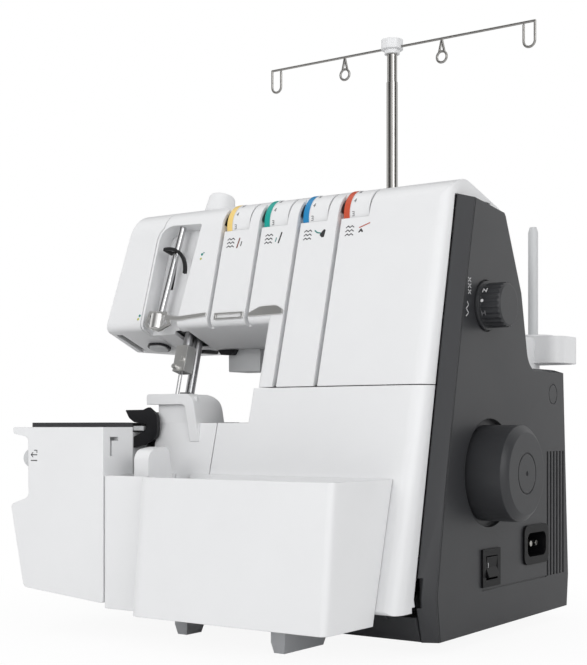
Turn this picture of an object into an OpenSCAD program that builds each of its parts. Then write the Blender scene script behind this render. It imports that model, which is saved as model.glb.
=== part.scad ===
// Four-thread overlock sewing machine.
// X runs to the right, Y to the back, Z up; the origin is under the middle of its outline, on the table.

/* [Casing] */
// Height of the crest of the casing above the table
casing_h = 309.5; // [302:0.5:318]
// Backward lean of the front, degrees
front_lean = 14.6; // [14:0.1:15.2]
// Width of the column that stands right of the head
column_w = 134; // [132:1:140]
// Width of the head that reaches left over the bed
head_w = 155; // [152:1:162]
// Width of the removable end cover of the head
face_w = 43; // [41:0.5:44]
// Depth of the dark side cover, outside to casing
side_t = 10; // [9:0.5:12]
// Height of the underside of the casing above the table
ground_gap = 8; // [6:0.5:9]
// Wall of the moulded covers
wall = 2.6; // [2:0.1:3]
// Gap between neighbouring covers
seam = 0.6; // [0.4:0.1:1]
// Height of the seam between the upper cover and the looper cover
seam_z = 171; // [169:0.5:173]
// Height of the underside of the head
head_z = 203; // [201:0.5:205]

/* [Controls] */
// Diameter of the handwheel
handwheel_d = 64.5; // [60:0.5:67]
// How far the handwheel stands out of the side cover
handwheel_out = 27; // [24:0.5:30]
// Diameter of the stitch length dial
stitch_dial_d = 30; // [27:0.5:32]
// Diameter of a tension thumbwheel
tension_d = 38; // [36:0.5:39]
// Distance between neighbouring thread channels
channel_pitch = 34; // [33:0.5:35]
// Width of a thread channel
channel_w = 3.4; // [2.6:0.1:4]
// Depth of a thread channel
channel_deep = 7; // [5:0.5:8]

/* [Bed and front] */
// Height of the bed above the table
bed_z = 147; // [145:0.5:149]
// Width of the extension table
table_w = 90; // [86:1:94]
// Depth of the extension table
table_deep = 180; // [170:1:186]
// Width of the trim bin
bin_w = 195; // [188:1:196]
// Height of the trim bin
bin_h = 90; // [82:1:94]
// Wall of the trim bin
bin_wall = 2.2; // [1.8:0.1:2.6]
// How far the looper cover slides before it tips
cover_slide = 3; // [2:0.5:3.5]

/* [Thread stand] */
// Diameter of the lower tube of the telescopic pole
pole_d = 8.8; // [8.6:0.1:9.2]
// How far the inner tube shows above the lower tube
pole_show = 27; // [20:1:40]
// Height of the thread guide wire
antenna_z = 441; // [436:1:446]
// Diameter of the thread guide wire
wire_d = 1.9; // [1.6:0.1:2.2]
// Diameter of a spool pin
spool_pin_d = 7.5; // [6.5:0.1:8]
// Height of a spool pin above its plate
spool_pin_h = 84; // [76:1:90]

/* [Drive] */
// Diameter of the main shaft
main_shaft_d = 10; // [9:0.5:11]
// Diameter of the large belt pulley
big_pulley_d = 62; // [58:1:66]
// Diameter of the motor pulley
small_pulley_d = 15; // [14:0.5:17]
// Diameter of the needle bar
needle_bar_d = 7; // [6.4:0.1:7.4]
// Diameter of the presser bar
presser_bar_d = 7; // [6.4:0.1:7.4]

/* [Hidden] */
$fn = 64;
arc_step = 7.5;   // degrees of arc for each edge of a rounded outline
run_gap = 0.3;    // between pieces that move past each other
shaft_fit = 0.05; // radial, for a shaft in its bearing
eps = 0.01;
far = 600;        // longer than the machine, for cuts that run right through

// ---- places of the casing, from the plane of the side cover's outer face
col_r = -side_t;
col_l = col_r - column_w;
head_l = col_l - head_w;
face_r = head_l + face_w;
front_foot_y = -43.5;                 // the front plane's Y at table height
crest_y = 58;
crest_r = 24;
top_fall = 15;                        // fall of the top towards the back, degrees
rear_top_y = 108;
rear_slope_y = 131;
shelf_z = 187;
rear_y = 204;
rear_foot_y = 208;
split_y = 92;                         // seam between the front and the rear covers
head_rear_y = 132;
head_chamfer_y = 52;
head_front_z = head_z + 15;
end_lean = 6.5;                       // the head's left end leans right by this, degrees
case_x = col_r - seam;

// ---- origin: under the middle of the outline
table_r = head_l + 79.5;
table_l = table_r - table_w;
tip_round = 0.65;                     // what rounding takes off the table's left tip
outline_x = [table_l + tip_round, handwheel_out];
pole_top_z = antenna_z - pole_show;
bin_front_y = -91;
stand_rear_y = 215;
place_x = -(outline_x[0] + outline_x[1]) / 2;
place_y = -(bin_front_y + stand_rear_y) / 2;

function front_y(z) = front_foot_y + tan(front_lean) * z;
function top_z(y) = casing_h + tan(top_fall) * (crest_y - y);
top_corner_z = (casing_h + tan(top_fall) * (crest_y - front_foot_y))
    / (1 + tan(top_fall) * tan(front_lean));
function unit(v) = v / norm(v);
function corner_arc(a, b, c, r) =
    let(u = unit([a.x - b.x, a.y - b.y]), w = unit([c.x - b.x, c.y - b.y]),
        half = acos(u * w) / 2,
        o = [b.x, b.y] + unit(u + w) * (r / sin(half)),
        p = [b.x, b.y] + u * (r / tan(half)) - o,
        q = [b.x, b.y] + w * (r / tan(half)) - o,
        a0 = atan2(p.y, p.x),
        sweep = ((atan2(q.y, q.x) - a0 + 540) % 360) - 180,
        n = max(2, ceil(abs(sweep) / arc_step)))
    [for (i = [0:n]) o + r * [cos(a0 + sweep * i / n), sin(a0 + sweep * i / n)]];
// Outline whose corners [x, y, r] are rounded to the radius r
function rounded(pts) = [
    for (i = [0:len(pts) - 1])
        let(b = pts[i], n = len(pts))
        each b[2] > 0 ? corner_arc(pts[(i + n - 1) % n], b, pts[(i + 1) % n], b[2]) : [[b.x, b.y]]
];

module place() translate([place_x, place_y, 0]) children();
module along_x(x0, x1) translate([x0, 0, 0]) rotate([90, 0, 90]) linear_extrude(x1 - x0) children();
module along_y(y0, y1) translate([0, y1, 0]) rotate([90, 0, 0]) linear_extrude(y1 - y0) children();
module rod_x(x0, x1, y, z, d) translate([x0, y, z]) rotate([0, 90, 0]) cylinder(d = d, h = x1 - x0);
module rod_y(y0, y1, x, z, d) translate([x, y1, z]) rotate([90, 0, 0]) cylinder(d = d, h = y1 - y0);
module box(x0, x1, y0, y1, z0, z1) translate([x0, y0, z0]) cube([x1 - x0, y1 - y0, z1 - z0]);
// Frame whose Z runs up the leaning front and whose Y runs into the casing
module lean() translate([0, front_foot_y, 0]) rotate([-front_lean, 0, 0]) children();
// Distance up the lean at which a point at this depth behind the front has the height z
function up(z, deep = 0) = (z + deep * sin(front_lean)) / cos(front_lean);

// ---- outlines of the casing, seen from the side
module column_outline() polygon(rounded([
    [front_y(0), 0, 0], [front_y(top_corner_z), top_corner_z, crest_r],
    [rear_top_y, top_z(rear_top_y), 6], [rear_slope_y, shelf_z + 50, 0],
    [rear_slope_y + 10, shelf_z, 14], [rear_y - 2, shelf_z, 5], [rear_foot_y, 0, 0]]));
module head_outline() polygon(rounded([
    [front_y(head_front_z), head_front_z, 6], [front_y(top_corner_z), top_corner_z, crest_r],
    [rear_top_y, top_z(rear_top_y), 6], [head_rear_y, head_z + 9, 8], [head_rear_y - 9, head_z, 5],
    [head_chamfer_y, head_z, 8]]));
// Plan of a block between x0 and x1 with its front corners rounded, swept up the lean
module lean_plan(x0, x1, rl, rr) lean() translate([0, 0, -80]) linear_extrude(far)
    polygon(rounded([[x0, 0, rl], [x1, 0, rr], [x1, 320, 0], [x0, 320, 0]]));
module column_block(inset) intersection() {
    along_x(col_l + inset, case_x - inset) offset(delta = -inset) column_outline();
    lean_plan(col_l + inset, case_x - inset, max(4 - inset, 0.5), 11 - inset);
}
module head_end_cut(inset) translate([head_l + inset, 0, head_z]) rotate([0, end_lean, 0])
    box(0, far, -far, far, -far, far);
module head_block(x0, x1, inset) intersection() {
    along_x(x0, x1) offset(delta = -inset) head_outline();
    head_end_cut(inset);
}

// ---- places of the mechanism
shaft_y = 71;
shaft_z = 113;
dial_in = 20;                         // the dials' axle lies this far behind the front and under the top
front_n = [-cos(front_lean), sin(front_lean)];
front_d = [-sin(front_lean), -cos(front_lean)];
top_n = [sin(top_fall), cos(top_fall)];
top_b = [cos(top_fall), -sin(top_fall)];
dial_at = [front_y(top_corner_z), top_corner_z] + dial_in * (front_d + top_b);
dial_y = dial_at[0];
dial_z = dial_at[1];
// the slot in the cover ends where the dial has sunk behind the wall
dial_open = sqrt(pow(tension_d / 2, 2) - pow(dial_in - wall - run_gap, 2));
dial_axle_d = 6;
channel_x = [for (i = [0:3]) col_l - 53 + i * channel_pitch];
dial_w = 20.4;
dial_gap = 1.8;                       // what the slot is wider than its dial by
needle_x = head_l + 69;
knob_d = 24;
needle_deep = 20;                     // the needle bar's depth behind the front plane
presser_deep = 31.5;
arm_y = 92;
arm_z = 238;
arm_shaft_d = 12;
upright_r = [-40, -33];
upright_l = [col_l + 8, col_l + 14];
motor_y = 150;
motor_z = 76;
belt_x = -24;
bin_top_z = 111;
hinge_y = -24;
hinge_z = 42;
table_front_y = -72;
plate_t = 3.2;
arm_top_z = bed_z - plate_t - wall - 1;

// ================= base =================
base_l = -218;
rim_z = 27;                           // top of the base tray
module base_outline() polygon(rounded([[-5, ground_gap, 3], [-13.4, rim_z, 0],
    [rear_foot_y - 5, rim_z, 0], [rear_foot_y - 2, ground_gap, 3]]));
bed_rear_y = 110;
module base_block(inset) {
    along_x(col_l + inset, case_x - inset) offset(delta = -inset) base_outline();
    along_x(base_l + inset, col_l + wall + inset) offset(delta = -inset) intersection() {
        base_outline();
        translate([-50, 0]) square([50 + bed_rear_y, 100]);
    }
}
foot_x = [-87.5, -187];
boss_at = [[-55, 30], [-55, 172], [-130, 172], [-150, 30], [-200, 30], [-200, 90]];
boss_d = 12;
frame_z = rim_z + 9;             // underside of the casting's floor plate
module base_tray() place() color([0.24, 0.245, 0.26]) difference() {
    union() {
        difference() {
            base_block(0);
            base_block(wall);
            box(-far, far, -far, far, rim_z - wall - eps, far);
        }
        for (p = boss_at) translate([p.x, p.y, ground_gap + wall - 1])
            cylinder(d = boss_d, h = frame_z - ground_gap - wall + 1);
        for (x = lug_x) cover_lug(x);
    }
    rod_x(-far, far, hinge_y, hinge_z, hinge_rod_d + 2 * shaft_fit);
    for (x = [-70, -120, -170]) for (i = [0:5])
        box(x - 12, x + 12, 60 + i * 7, 63 + i * 7, 0, ground_gap + wall + 1);
}
hinge_rod_d = 4;
lug_t = 6;
lug_x = [-158, -36];
knuckle_x = [-146, -58];
module cover_lug(x) hull() {
    rod_x(x, x + lug_t, hinge_y, hinge_z, 9);
    box(x, x + lug_t, -12.5, -10.5, rim_z - 5, rim_z + 6);
}

module foot(x, y0, y1, front) difference() {
    hull() {
        box(x + 1.5, x + 9.5, y0 + 1.5, y1 - 2, 0, 1);
        box(x, x + 11, y0, y1, ground_gap - 1, front ? ground_gap + 8 : ground_gap);
    }
    if (front) along_x(x - 1, x + 12) polygon([[-5 - 0.2, ground_gap], [-13.4, rim_z],
        [40, rim_z], [40, ground_gap]]);
}
module feet() place() color([0.78, 0.79, 0.8]) {
    foot(foot_x[0] - 5.5, -52, -4, true);
    foot(foot_x[1] - 5.5, -28.5, -9, true);
    foot(-52 - 5.5, 158, 190, false);
    foot(foot_x[1] - 5.5, bed_rear_y - 36, bed_rear_y - 4, false);
}

// ================= dark side cover =================
inlet_box = [123, 162, 47, 73];
switch_box = [59, 83, 38, 61];
stitch_y = 65;
stitch_z = 225;
recess_d = 73;
recess_deep = 4;
stitch_flange_d = 33;
mark_y = 174;
mark_z = 168;
louvre_y = 163;
louvre_pitch = 5.6;
louvre_w = 2.6;
side_front = [[-5, ground_gap], [-13, 36], [-4, 73], [6, 116.5], [14, 167], [22.6, 208],
    [42.7, casing_h - 11.5]];
// What lies behind the side cover's front edge, with a gap of g before it
module side_clear(g) hull() polygon(concat([for (p = side_front) [p.x - g, p.y]], [[300, 300], [300, 0]]));
module side_outline() polygon(concat(side_front, rounded([
    [42.7, casing_h - 11.5, 0], [rear_top_y - 1, top_z(rear_top_y) - 1, 5], [rear_slope_y, shelf_z + 50, 0],
    [rear_slope_y + 10, shelf_z, 14], [rear_y - 2, shelf_z, 5], [rear_foot_y - 2, ground_gap, 3],
    [-5, ground_gap, 0]])));
face_front = [[0, ground_gap], [-4, 37.5], [7.6, 104], [21, 171], [34.8, 236], [49, casing_h - 14]];
module side_face() polygon(concat(face_front, [[rear_top_y - 15, casing_h - 18.5],
    [rear_y - 11, shelf_z - 3], [rear_foot_y - 6, 33], [rear_foot_y - 8.6, ground_gap + 1.6]]));
// A tapered block between an outline on the casing's side and one on the outer face
module tapered(over = 0) hull() {
    along_x(col_r - over - eps, col_r - over + eps) children(0);
    along_x(over - eps, over) children(1);
}
slope_z = shelf_z + 50;
side_wall = 3;
module side_solid() difference() {
    tapered() {
        side_outline();
        side_face();
    }
    // behind the slope, above its bend
    tapered(1) {
        polygon([[rear_top_y - 1, top_z(rear_top_y) - 1], [rear_slope_y, slope_z], [far, slope_z], [far, far],
            [rear_top_y + 40, far]]);
        polygon([[rear_top_y - 15, casing_h - 18.5], [rear_slope_y - 10, slope_z - 3],
            [far, slope_z - 3], [far, far], [rear_slope_y + 2, far]]);
    }
    // over the shelf, with the hollow that leads down to it
    tapered(1) {
        polygon(rounded([[rear_slope_y - 10, slope_z + 40, 0], [rear_slope_y, slope_z, 0],
            [rear_slope_y + 10, shelf_z, 14], [far, shelf_z, 0], [far, slope_z + 40, 0]]));
        polygon(rounded([[rear_slope_y - 20, slope_z + 37, 0], [rear_slope_y - 10, slope_z - 3, 0],
            [rear_slope_y, shelf_z - 3, 16],
            [far, shelf_z - 3, 0], [far, slope_z + 37, 0]]));
    }
}
module side_pocket() difference() {
    along_x(col_r - 1, -side_wall) offset(delta = -side_wall - 4) side_outline();
    rod_x(-far, far, shaft_y, shaft_z, recess_d + 8);
    rod_x(-far, far, stitch_y, stitch_z, stitch_flange_d + 2);
    for (p = side_boss_at) rod_x(-far, far, p[0], p[1], 9);
}
side_boss_at = [[20, 60], [182, 60], [70, casing_h - 34.5], [110, 200]];
module right_side_cover() place() color([0.29, 0.3, 0.32]) difference() {
    side_solid();
    side_pocket();
    rod_x(-recess_deep, 5, shaft_y, shaft_z, recess_d);
    rod_x(-far, 5, shaft_y, shaft_z, 22);
    rod_x(-far, 5, stitch_y, stitch_z, 8.4);
    rod_x(-1.4, 5, stitch_y, stitch_z, stitch_flange_d + 1.6);
    box(-far, 5, inlet_box[0], inlet_box[1], inlet_box[2], inlet_box[3]);
    box(-far, 5, switch_box[0], switch_box[1], switch_box[2], switch_box[3]);
    difference() {
        rod_x(-0.5, 5, mark_y, mark_z, 15);
        rod_x(-2, 6, mark_y, mark_z, 13.6);
    }
    for (i = [0:5]) translate([0, louvre_y + i * louvre_pitch, 0]) box(-5.5, 5, 0, louvre_w, 35, 126);
    box(-0.5, 5, 59, 162, 34.4, 35.4);
    // room for the looper cover's corner as it slides and tips
    box(-far, case_x + cover_slide + 0.3, -far, hinge_y + 16.8, hinge_z - 11.6, hinge_z + 7);
    // fine groove along the front edge of the outer face
    along_x(-0.6, 5) polygon(concat([for (p = face_front) [p.x + 0.7, p.y]],
        [for (i = [len(face_front) - 1:-1:0]) [face_front[i].x + 1.6, face_front[i].y]]));
}

// ================= upper covers =================
recess_l = face_r - 1.5;
recess_w = [33, 39];                  // width of the recess at its foot and at its top
recess_tilt = 2;                      // what it leans to the left by, from the lean, degrees
recess_front_deep = 13;
recess_wall = 2;
recess_top_z = casing_h - 12.5;
module channel_cuts() for (i = [0:3]) {
    z0 = i < 2 ? 140 : 100;
    lean() box(channel_x[i] - channel_w / 2, channel_x[i] + channel_w / 2, -5, channel_deep,
        up(z0), up(casing_h + 30));
}
module channel_walls() for (i = [0:3]) {
    z0 = i < 2 ? head_front_z : seam_z;
    lean() box(channel_x[i] - channel_w / 2 - 1.6, channel_x[i] + channel_w / 2 + 1.6, 0.5,
        channel_deep + 1.6,
        up(z0) + 2, up(casing_h - 16));
}
module dial_slots() for (i = [0:3]) {
    x0 = channel_x[i] + channel_w / 2;
    rod_x(x0, x0 + dial_w + dial_gap, dial_y, dial_z, tension_d + 2 * run_gap);
    along_x(x0, x0 + dial_w + dial_gap) polygon([dial_at,
        dial_at + 1.5 * (dial_in * front_n + dial_open * front_d), dial_at + 3 * dial_in * (front_n + top_n),
        dial_at + 1.5 * (dial_in * top_n + dial_open * top_b)]);
}
module recess_cut(g) lean() translate([recess_l, recess_front_deep - g, up(recess_top_z)])
    rotate([0, recess_tilt, 0]) rotate([90, 0, 0]) linear_extrude(recess_front_deep + 5) offset(delta = -g)
        polygon(rounded([[0, 0, 12], [recess_w[1], 0, 2], [recess_w[0], head_front_z - recess_top_z, 0],
            [recess_w[0], -200, 0], [0, -200, 0]]));
module upper_outer() {
    column_block(0);
    head_block(face_r + seam, col_l + 20, 0);
}
module upper_inner() {
    column_block(wall);
    head_block(face_r - 5, col_l + 20, wall);
    // the right end is left open inside a flange that the side cover closes
    along_x(case_x - 20, case_x + 1) offset(delta = -flange) column_outline();
}
flange = 16;
module front_upper_cover() place() color([0.93, 0.93, 0.94]) difference() {
    intersection() {
        union() {
            difference() {
                upper_outer();
                upper_inner();
            }
            intersection() {
                union() {
                    upper_outer();
                    head_block(face_r - 8, face_r + 2, 0);
                }
                union() {
                    channel_walls();
                    difference() {
                        recess_cut(-recess_wall);
                        box(-far, far, -far, far, -far, head_front_z - 10);
                    }
                }
            }
        }
        union() {
            box(-far, col_l, -far, split_y, 100, far);
            box(col_l - 1, far, -far, split_y, seam_z + seam / 2, far);
        }
    }
    channel_cuts();
    dial_slots();
    recess_cut(0);
    lean() translate([needle_x, presser_deep, up(casing_h - 30)]) cylinder(d = knob_d + 1.4, h = 100);
    lean() translate([needle_x, needle_deep, up(150)]) cylinder(d = needle_bar_d + 4, h = 70);
    lean() translate([needle_x, presser_deep, up(150)]) cylinder(d = presser_bar_d + 4, h = 70);
    box(needle_x - 8, needle_x + 8, 22, 54, 190, 216);
    lean() box(take_up_arm - 1.2, take_up_arm + take_up_w + 1.2, 8, 20,
        take_up_at.y + take_up_r - needle_up - 5,
        take_up_at.y + take_up_r + 3);
    along_x(col_r - 30, 0) side_clear(seam);
}
module face_cover() place() color([0.93, 0.93, 0.94]) difference() {
    head_block(head_l - 40, face_r, 0);
    head_block(head_l - 40, face_r + 5, wall);
    recess_cut(-recess_wall - seam);
    // shadow gap along the left end of the underside
    box(head_l + 5, head_l + 11, 22, head_chamfer_y, 190, head_z + 14);
}
module rear_outer() {
    column_block(0);
    head_block(face_r + seam, col_l + 20, 0);
}
module rear_cover() place() color([0.91, 0.91, 0.92]) difference() {
    intersection() {
        difference() {
            rear_outer();
            upper_inner();
        }
        union() {
            box(-far, col_l, split_y + seam, far, 100, far);
            box(col_l - 1, far, split_y + seam, far, rim_z + seam, far);
        }
    }
    for (i = [0:7]) box(-110 + i * 9, -105 + i * 9, 150, far, 60, 96);
    translate([pole_x, pole_y, 150]) cylinder(d = pole_d + 0.6, h = 60);
    box(lifter_x - 5, lifter_x + 13, 120, 140, head_z + 14, head_z + 44);
    box(col_l - 1, col_l + wall + 1, 0, bed_rear_y + 1, 0, bed_z);
}

// ================= looper cover =================
door_l = head_l + 126;
door_bottom_z = rim_z + 0.6;
door_top_z = seam_z - seam / 2;
step_z = bed_z - 0.3;
step_x = col_l - 2;
module door_shell() intersection() {
    difference() {
        column_like(0);
        column_like(wall);
    }
    along_x(-far, far) difference() {
        translate([-60, door_bottom_z]) square([100, door_top_z - door_bottom_z]);
        side_clear(seam);
    }
}
module column_like(inset) intersection() {
    along_x(door_l + inset, case_x - inset) offset(delta = -inset)
        polygon(rounded([[front_y(door_bottom_z), door_bottom_z, 3],
            [front_y(door_top_z + 40), door_top_z + 40, 0], [200, door_top_z + 40, 0], [200,
                door_bottom_z, 0]]));
    lean_plan(door_l + inset, case_x - inset, 0.5, 11 - inset);
}
module looper_cover() place() color([0.93, 0.93, 0.94]) difference() {
    union() {
        door_shell();
        for (x = knuckle_x) hull() {
            rod_x(x, x + lug_t, hinge_y, hinge_z, 9);
            lean() box(x, x + lug_t, 1, 2, up(hinge_z) - 6, up(hinge_z) + 6);
        }
    }
    box(-far, step_x, -far, far, step_z, far);
    lean() box(-far, door_l + wall + 1, 9, far, -far, far);
    // slots round the base's lugs, long enough for the slide and deep enough for the tip
    for (x = lug_x) {
        box(x - seam - cover_slide, x + lug_t + seam, hinge_y - 5.2, 20, 0, hinge_z + 8);
        box(x - seam - cover_slide, x + lug_t + seam, -far, 20, 0, door_bottom_z + wall + 6.6);
    }
    box(-far, far, hinge_y + 8, far, 0, door_bottom_z + wall + 1);
    rod_x(-far, lug_x[1] + lug_t + 5, hinge_y, hinge_z, hinge_rod_d + 2 * shaft_fit);
}
module cover_hinge_rod() place() color([0.7, 0.71, 0.72])
    rod_x(lug_x[0] - 6, lug_x[1] + lug_t + 4, hinge_y, hinge_z, hinge_rod_d);

// ================= finger guard =================
guard_x = [head_l + 61, head_l + 106];
guard_top_z = bed_z + 20.6;
guard_front_y = -9;
guard_side_y = 23;
guard_t = 3;
guard_lip = 7.5;                      // height of the lip along the top of the mouth
guard_leg = 7;                        // width of the leg right of the mouth
guard_wall_l = guard_x[0] + 10.5;
module hood_outline(left, top, leg, drop, corner) polygon(rounded([[guard_x[0] - left, step_z - 13 - drop, 0],
    [guard_x[0] - left, guard_top_z - top, left > 0 ? 0 : 2], [guard_x[1] - leg, guard_top_z - top, corner],
    [guard_x[1] + 6 - leg, step_z - 13 - drop, 0]]));
module finger_guard() place() color([0.92, 0.92, 0.93]) difference() {
    union() {
        // wall that leans with the front, then stands upright behind the mouth of the hood
        lean() box(guard_wall_l, door_l - seam, 0, wall, up(44), up(step_z));
        along_x(guard_wall_l, guard_x[1] + 1) polygon([[front_y(100), 100], [front_y(bed_z), bed_z],
            [front_y(bed_z), guard_top_z - 2], [front_y(bed_z) + 2, guard_top_z - 2],
            [front_y(bed_z) + 2, bed_z], [front_y(100) + wall, 100]]);
        // hood with its lip, its leg and its side wall
        difference() {
            along_y(guard_front_y, guard_side_y) hood_outline(-2.4, 0, 0, 0, 9);
            along_y(guard_front_y - 1, guard_side_y + 1) hood_outline(5, guard_lip, guard_leg, 8, 4);
            along_y(front_y(bed_z) + 2, guard_side_y + 1) hood_outline(5, guard_t, guard_t, 8, 6);
            box(-far, far, guard_front_y + guard_t, far, -far, bed_z - 4);
            box(-far, guard_x[1] - 4.5, 3, far, -far, far);
            along_x(-far, far) polygon(rounded([[guard_side_y - 14, guard_top_z + 20, 0],
                [guard_side_y + 30, guard_top_z + 20, 0], [guard_side_y + 30, 60, 0],
                [guard_side_y, 60, 0], [guard_side_y, guard_top_z - 2, 12],
                [guard_side_y - 14, guard_top_z + eps, 0]]));
        }
        // pillar that closes the guard towards the table
        difference() {
            along_x(guard_x[0] + 36, guard_x[0] + 49) polygon(rounded([[-60, 70, 4], [-60, 128, 8],
                [-39, 131, 6], [-30, 70, 0]]));
            along_x(guard_x[0] + 38.2, guard_x[0] + 46.8) polygon(rounded([[-57, 60, 0], [-57, 125, 6],
                [-42, 128, 4], [-33, 60, 0]]));
        }
        box(guard_x[0] + 36, guard_x[0] + 49, -34, -24, 70, 96);
    }
}
shield_y = [-12, -8.7];
module looper_shield() place() color([0.13, 0.13, 0.14]) translate([needle_x, 0, bed_z])
    along_y(shield_y[0], shield_y[1]) {
        polygon(rounded([[-23.8, 9.3, 0.5], [-6.3, 9.4, 2], [-2.1, 11.1, 1], [1, 1.2, 2], [-6.3, -0.7, 3],
            [-15.4, 0.4, 4], [-20.2, 3.5, 3]]));
        polygon(rounded([[-2.1, 11.1, 0], [6.3, 5.5, 4], [7, -0.2, 4], [6.3, -10.3, 5], [-1.8, -14.8, 4],
            [-15.6, -18.2, 0], [-15.6, -10.2, 0], [-7.8, -6.9, 6], [-0.4, -2.4, 4], [-4.8, 1, 0]]));
    }
module shield_lever() place() color([0.8, 0.8, 0.81])
    box(needle_x - 16.3, needle_x - 6.6, -11.5, -9, bed_z - 5.7, bed_z - 2.4);

// ================= trim bin =================
bin_r = -24;
bin_l = bin_r - bin_w;
bin_z0 = bin_top_z - bin_h;
bin_lean = 5.8;
bin_step_x = head_l + 117;
bin_gap = 0.5;
bin_left_y = table_front_y - 0.5;     // its left part stands upright, flush with the table
module bin_plan(inset) {
    translate([0, bin_front_y, bin_z0]) rotate([-bin_lean, 0, 0]) translate([0, 0, -40])
        linear_extrude(bin_h + 90) offset(delta = -inset) polygon(rounded([
            [bin_step_x, 0, 14], [bin_r - 2, 0, 5], [bin_r, 140, 0], [bin_step_x - 8, 140, 0]]));
    linear_extrude(bin_h + 90) offset(delta = -inset) polygon(rounded([[bin_l, bin_left_y, 3],
        [bin_step_x + 30, bin_left_y, 0], [bin_step_x + 30, 60, 0], [bin_l, 60, 0]]));
}
module bin_side(inset) along_x(bin_l - 1 + inset, bin_r + 1 - inset) polygon([
    [-200, bin_z0 + inset], [front_y(bin_z0) - bin_gap - inset, bin_z0 + inset],
    [front_y(bin_top_z + 30) - bin_gap - inset, bin_top_z + 30], [-200, bin_top_z + 30]]);
module trim_bin() place() color([0.92, 0.92, 0.93]) difference() {
    intersection() {
        difference() {
            intersection() {
                bin_plan(0);
                bin_side(0);
            }
            intersection() {
                bin_plan(bin_wall);
                bin_side(bin_wall);
            }
        }
        box(-far, far, -far, far, 0, bin_top_z);
    }
    // the back is cut away round the pillar of the finger guard
    box(guard_x[0] + 35, guard_x[0] + 50, -62, 0, 68, far);
}

// ================= extension table =================
table_bottom_z = 27;
table_deck_z = bed_z - plate_t;
table_rear_y = table_front_y + table_deep;
deck_r = needle_x - 15 - wall - seam;
notch_y = -42;                        // the deck ends short of the finger guard behind this
module table_front_outline() polygon(rounded([[table_r, table_bottom_z - 3, 2], [table_r, table_deck_z, 0],
    [table_l + 2.5, table_deck_z, 1.5], [table_l + 2.5, table_deck_z - 4.5, 1.5],
    [table_l + 17.5, table_deck_z - 7, 4], [table_l + 18, 94, 5], [table_l, 88.5, 3],
    [table_l + 13, table_bottom_z + 3, 5]]));
module extension_table() place() color([0.93, 0.93, 0.94]) difference() {
    intersection() {
        along_y(table_front_y, table_rear_y) table_front_outline();
        linear_extrude(far) polygon(rounded([[table_l - 5, table_front_y, 6],
            [table_r + 1, table_front_y, 2], [table_r + 1, table_rear_y, 0], [table_l - 5, table_rear_y,
                10]]));
    }
    difference() {
        along_y(table_front_y + wall, table_rear_y - wall) offset(delta = -wall) table_front_outline();
        box(table_r - wall - 1, far, -far, notch_y, 0, far);
    }
    // open to the right behind the latch wall, and at the rear, for the free arm
    box(deck_r, far, notch_y, far, 0, far);
    box(arm_l - 2, far, table_rear_y - wall - 1, far, 0, table_deck_z - wall);
    box(table_l + 22, table_r - wall - 3, table_front_y + wall + 4, table_rear_y - wall - 4, -far, 60);
    // latch slot in the right end wall
    box(table_r - 4, far, -65, -63, 124, 137);
    box(table_r - 4, far, -65, -57, 134.5, 137);
    button_hole(0.3);
}
button_y = -61.6;
button_z = 121.6;
button_d = 14;
module button_hole(g) rod_x(table_l + 5, table_l + 24, button_y, button_z, button_d + 2 * g);
module table_plate() place() color([0.2, 0.2, 0.21]) translate([0, 0, table_deck_z]) linear_extrude(plate_t)
    polygon(rounded([[table_l + 9, table_front_y + 10, 4], [table_r, table_front_y + 10, 0],
        [table_r, notch_y, 0], [deck_r, notch_y, 0], [deck_r, table_rear_y - 3, 0],
        [table_l + 9, table_rear_y - 3, 8]]));
module table_release_button() place() color([0.86, 0.86, 0.87]) {
    translate([table_l + 6, button_y, button_z]) rotate([0, 90, 0]) rotate_extrude() polygon(rounded([[0,
        0, 0],
        [button_d / 2, 0, 5.5], [button_d / 2, 18, 0], [0, 18, 0]]));
    box(table_l + 24 - eps, table_l + 30, table_front_y + wall + run_gap, button_y + 10,
        button_z - 10, button_z + 10);
}

// ================= bed =================
arm_l = table_l + 22.5;
arm_rear_y = 100;
mech_l = needle_x - 15;
arm_bottom_z = 92;
module bed_arm() place() color([0.86, 0.86, 0.87]) difference() {
    union() {
        // the free arm that the table slides over
        along_y(-30, arm_rear_y) polygon(rounded([[arm_l, arm_bottom_z, 10], [arm_l, arm_top_z, 3],
            [mech_l - 1, arm_top_z, 0], [mech_l - 1, arm_bottom_z, 0]]));
        // the housing behind and left of the loopers
        box(base_l, col_l - seam, 0, bed_rear_y, rim_z + seam, arm_bottom_z + wall);
        box(mech_l - wall, col_l - seam, 0, bed_rear_y, arm_bottom_z, table_deck_z);
    }
    box(arm_l + wall + 1, mech_l - wall, -30 + wall, arm_rear_y - wall, arm_bottom_z + wall,
        arm_top_z - wall);
    box(mech_l - wall - 1, mech_l + 1, wall, arm_rear_y - wall, arm_bottom_z + 2 * wall,
        arm_top_z - 2 * wall);
    box(base_l + wall, far, -1, bed_rear_y - wall, 0, arm_bottom_z + wall + 1);
    box(mech_l, far, -1, bed_rear_y - wall, arm_bottom_z + wall, far);
}
module bed_plate() place() color([0.2, 0.2, 0.21]) difference() {
    translate([0, 0, bed_z - plate_t]) linear_extrude(plate_t) polygon(rounded([
        [deck_r + seam, -2.2, 1], [plate_r, -2.2, 0], [plate_r, 26, 0], [col_l - seam, 26, 0],
        [col_l - seam, bed_rear_y, 0], [deck_r + seam, bed_rear_y, 0]]));
    box(plate_l - run_gap, plate_r + run_gap, -6, plate_rear_y + run_gap, 0, far);
    box(plate_r, plate_r + 5, foot_y - 12, foot_y + 4, 0, far);
}
plate_l = needle_x - 12;
plate_r = needle_x + 26;
plate_rear_y = 60;
slot_w = 2.6;
dog_from = [-8, 1.6, -8];             // front ends of the feed dogs, from the presser foot's middle
dog_end = 21;
feed_stroke = 3;
tooth_pitch = 2.1;
needle_back = 2.5;                    // the needles stand this far before the bar's axis
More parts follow.
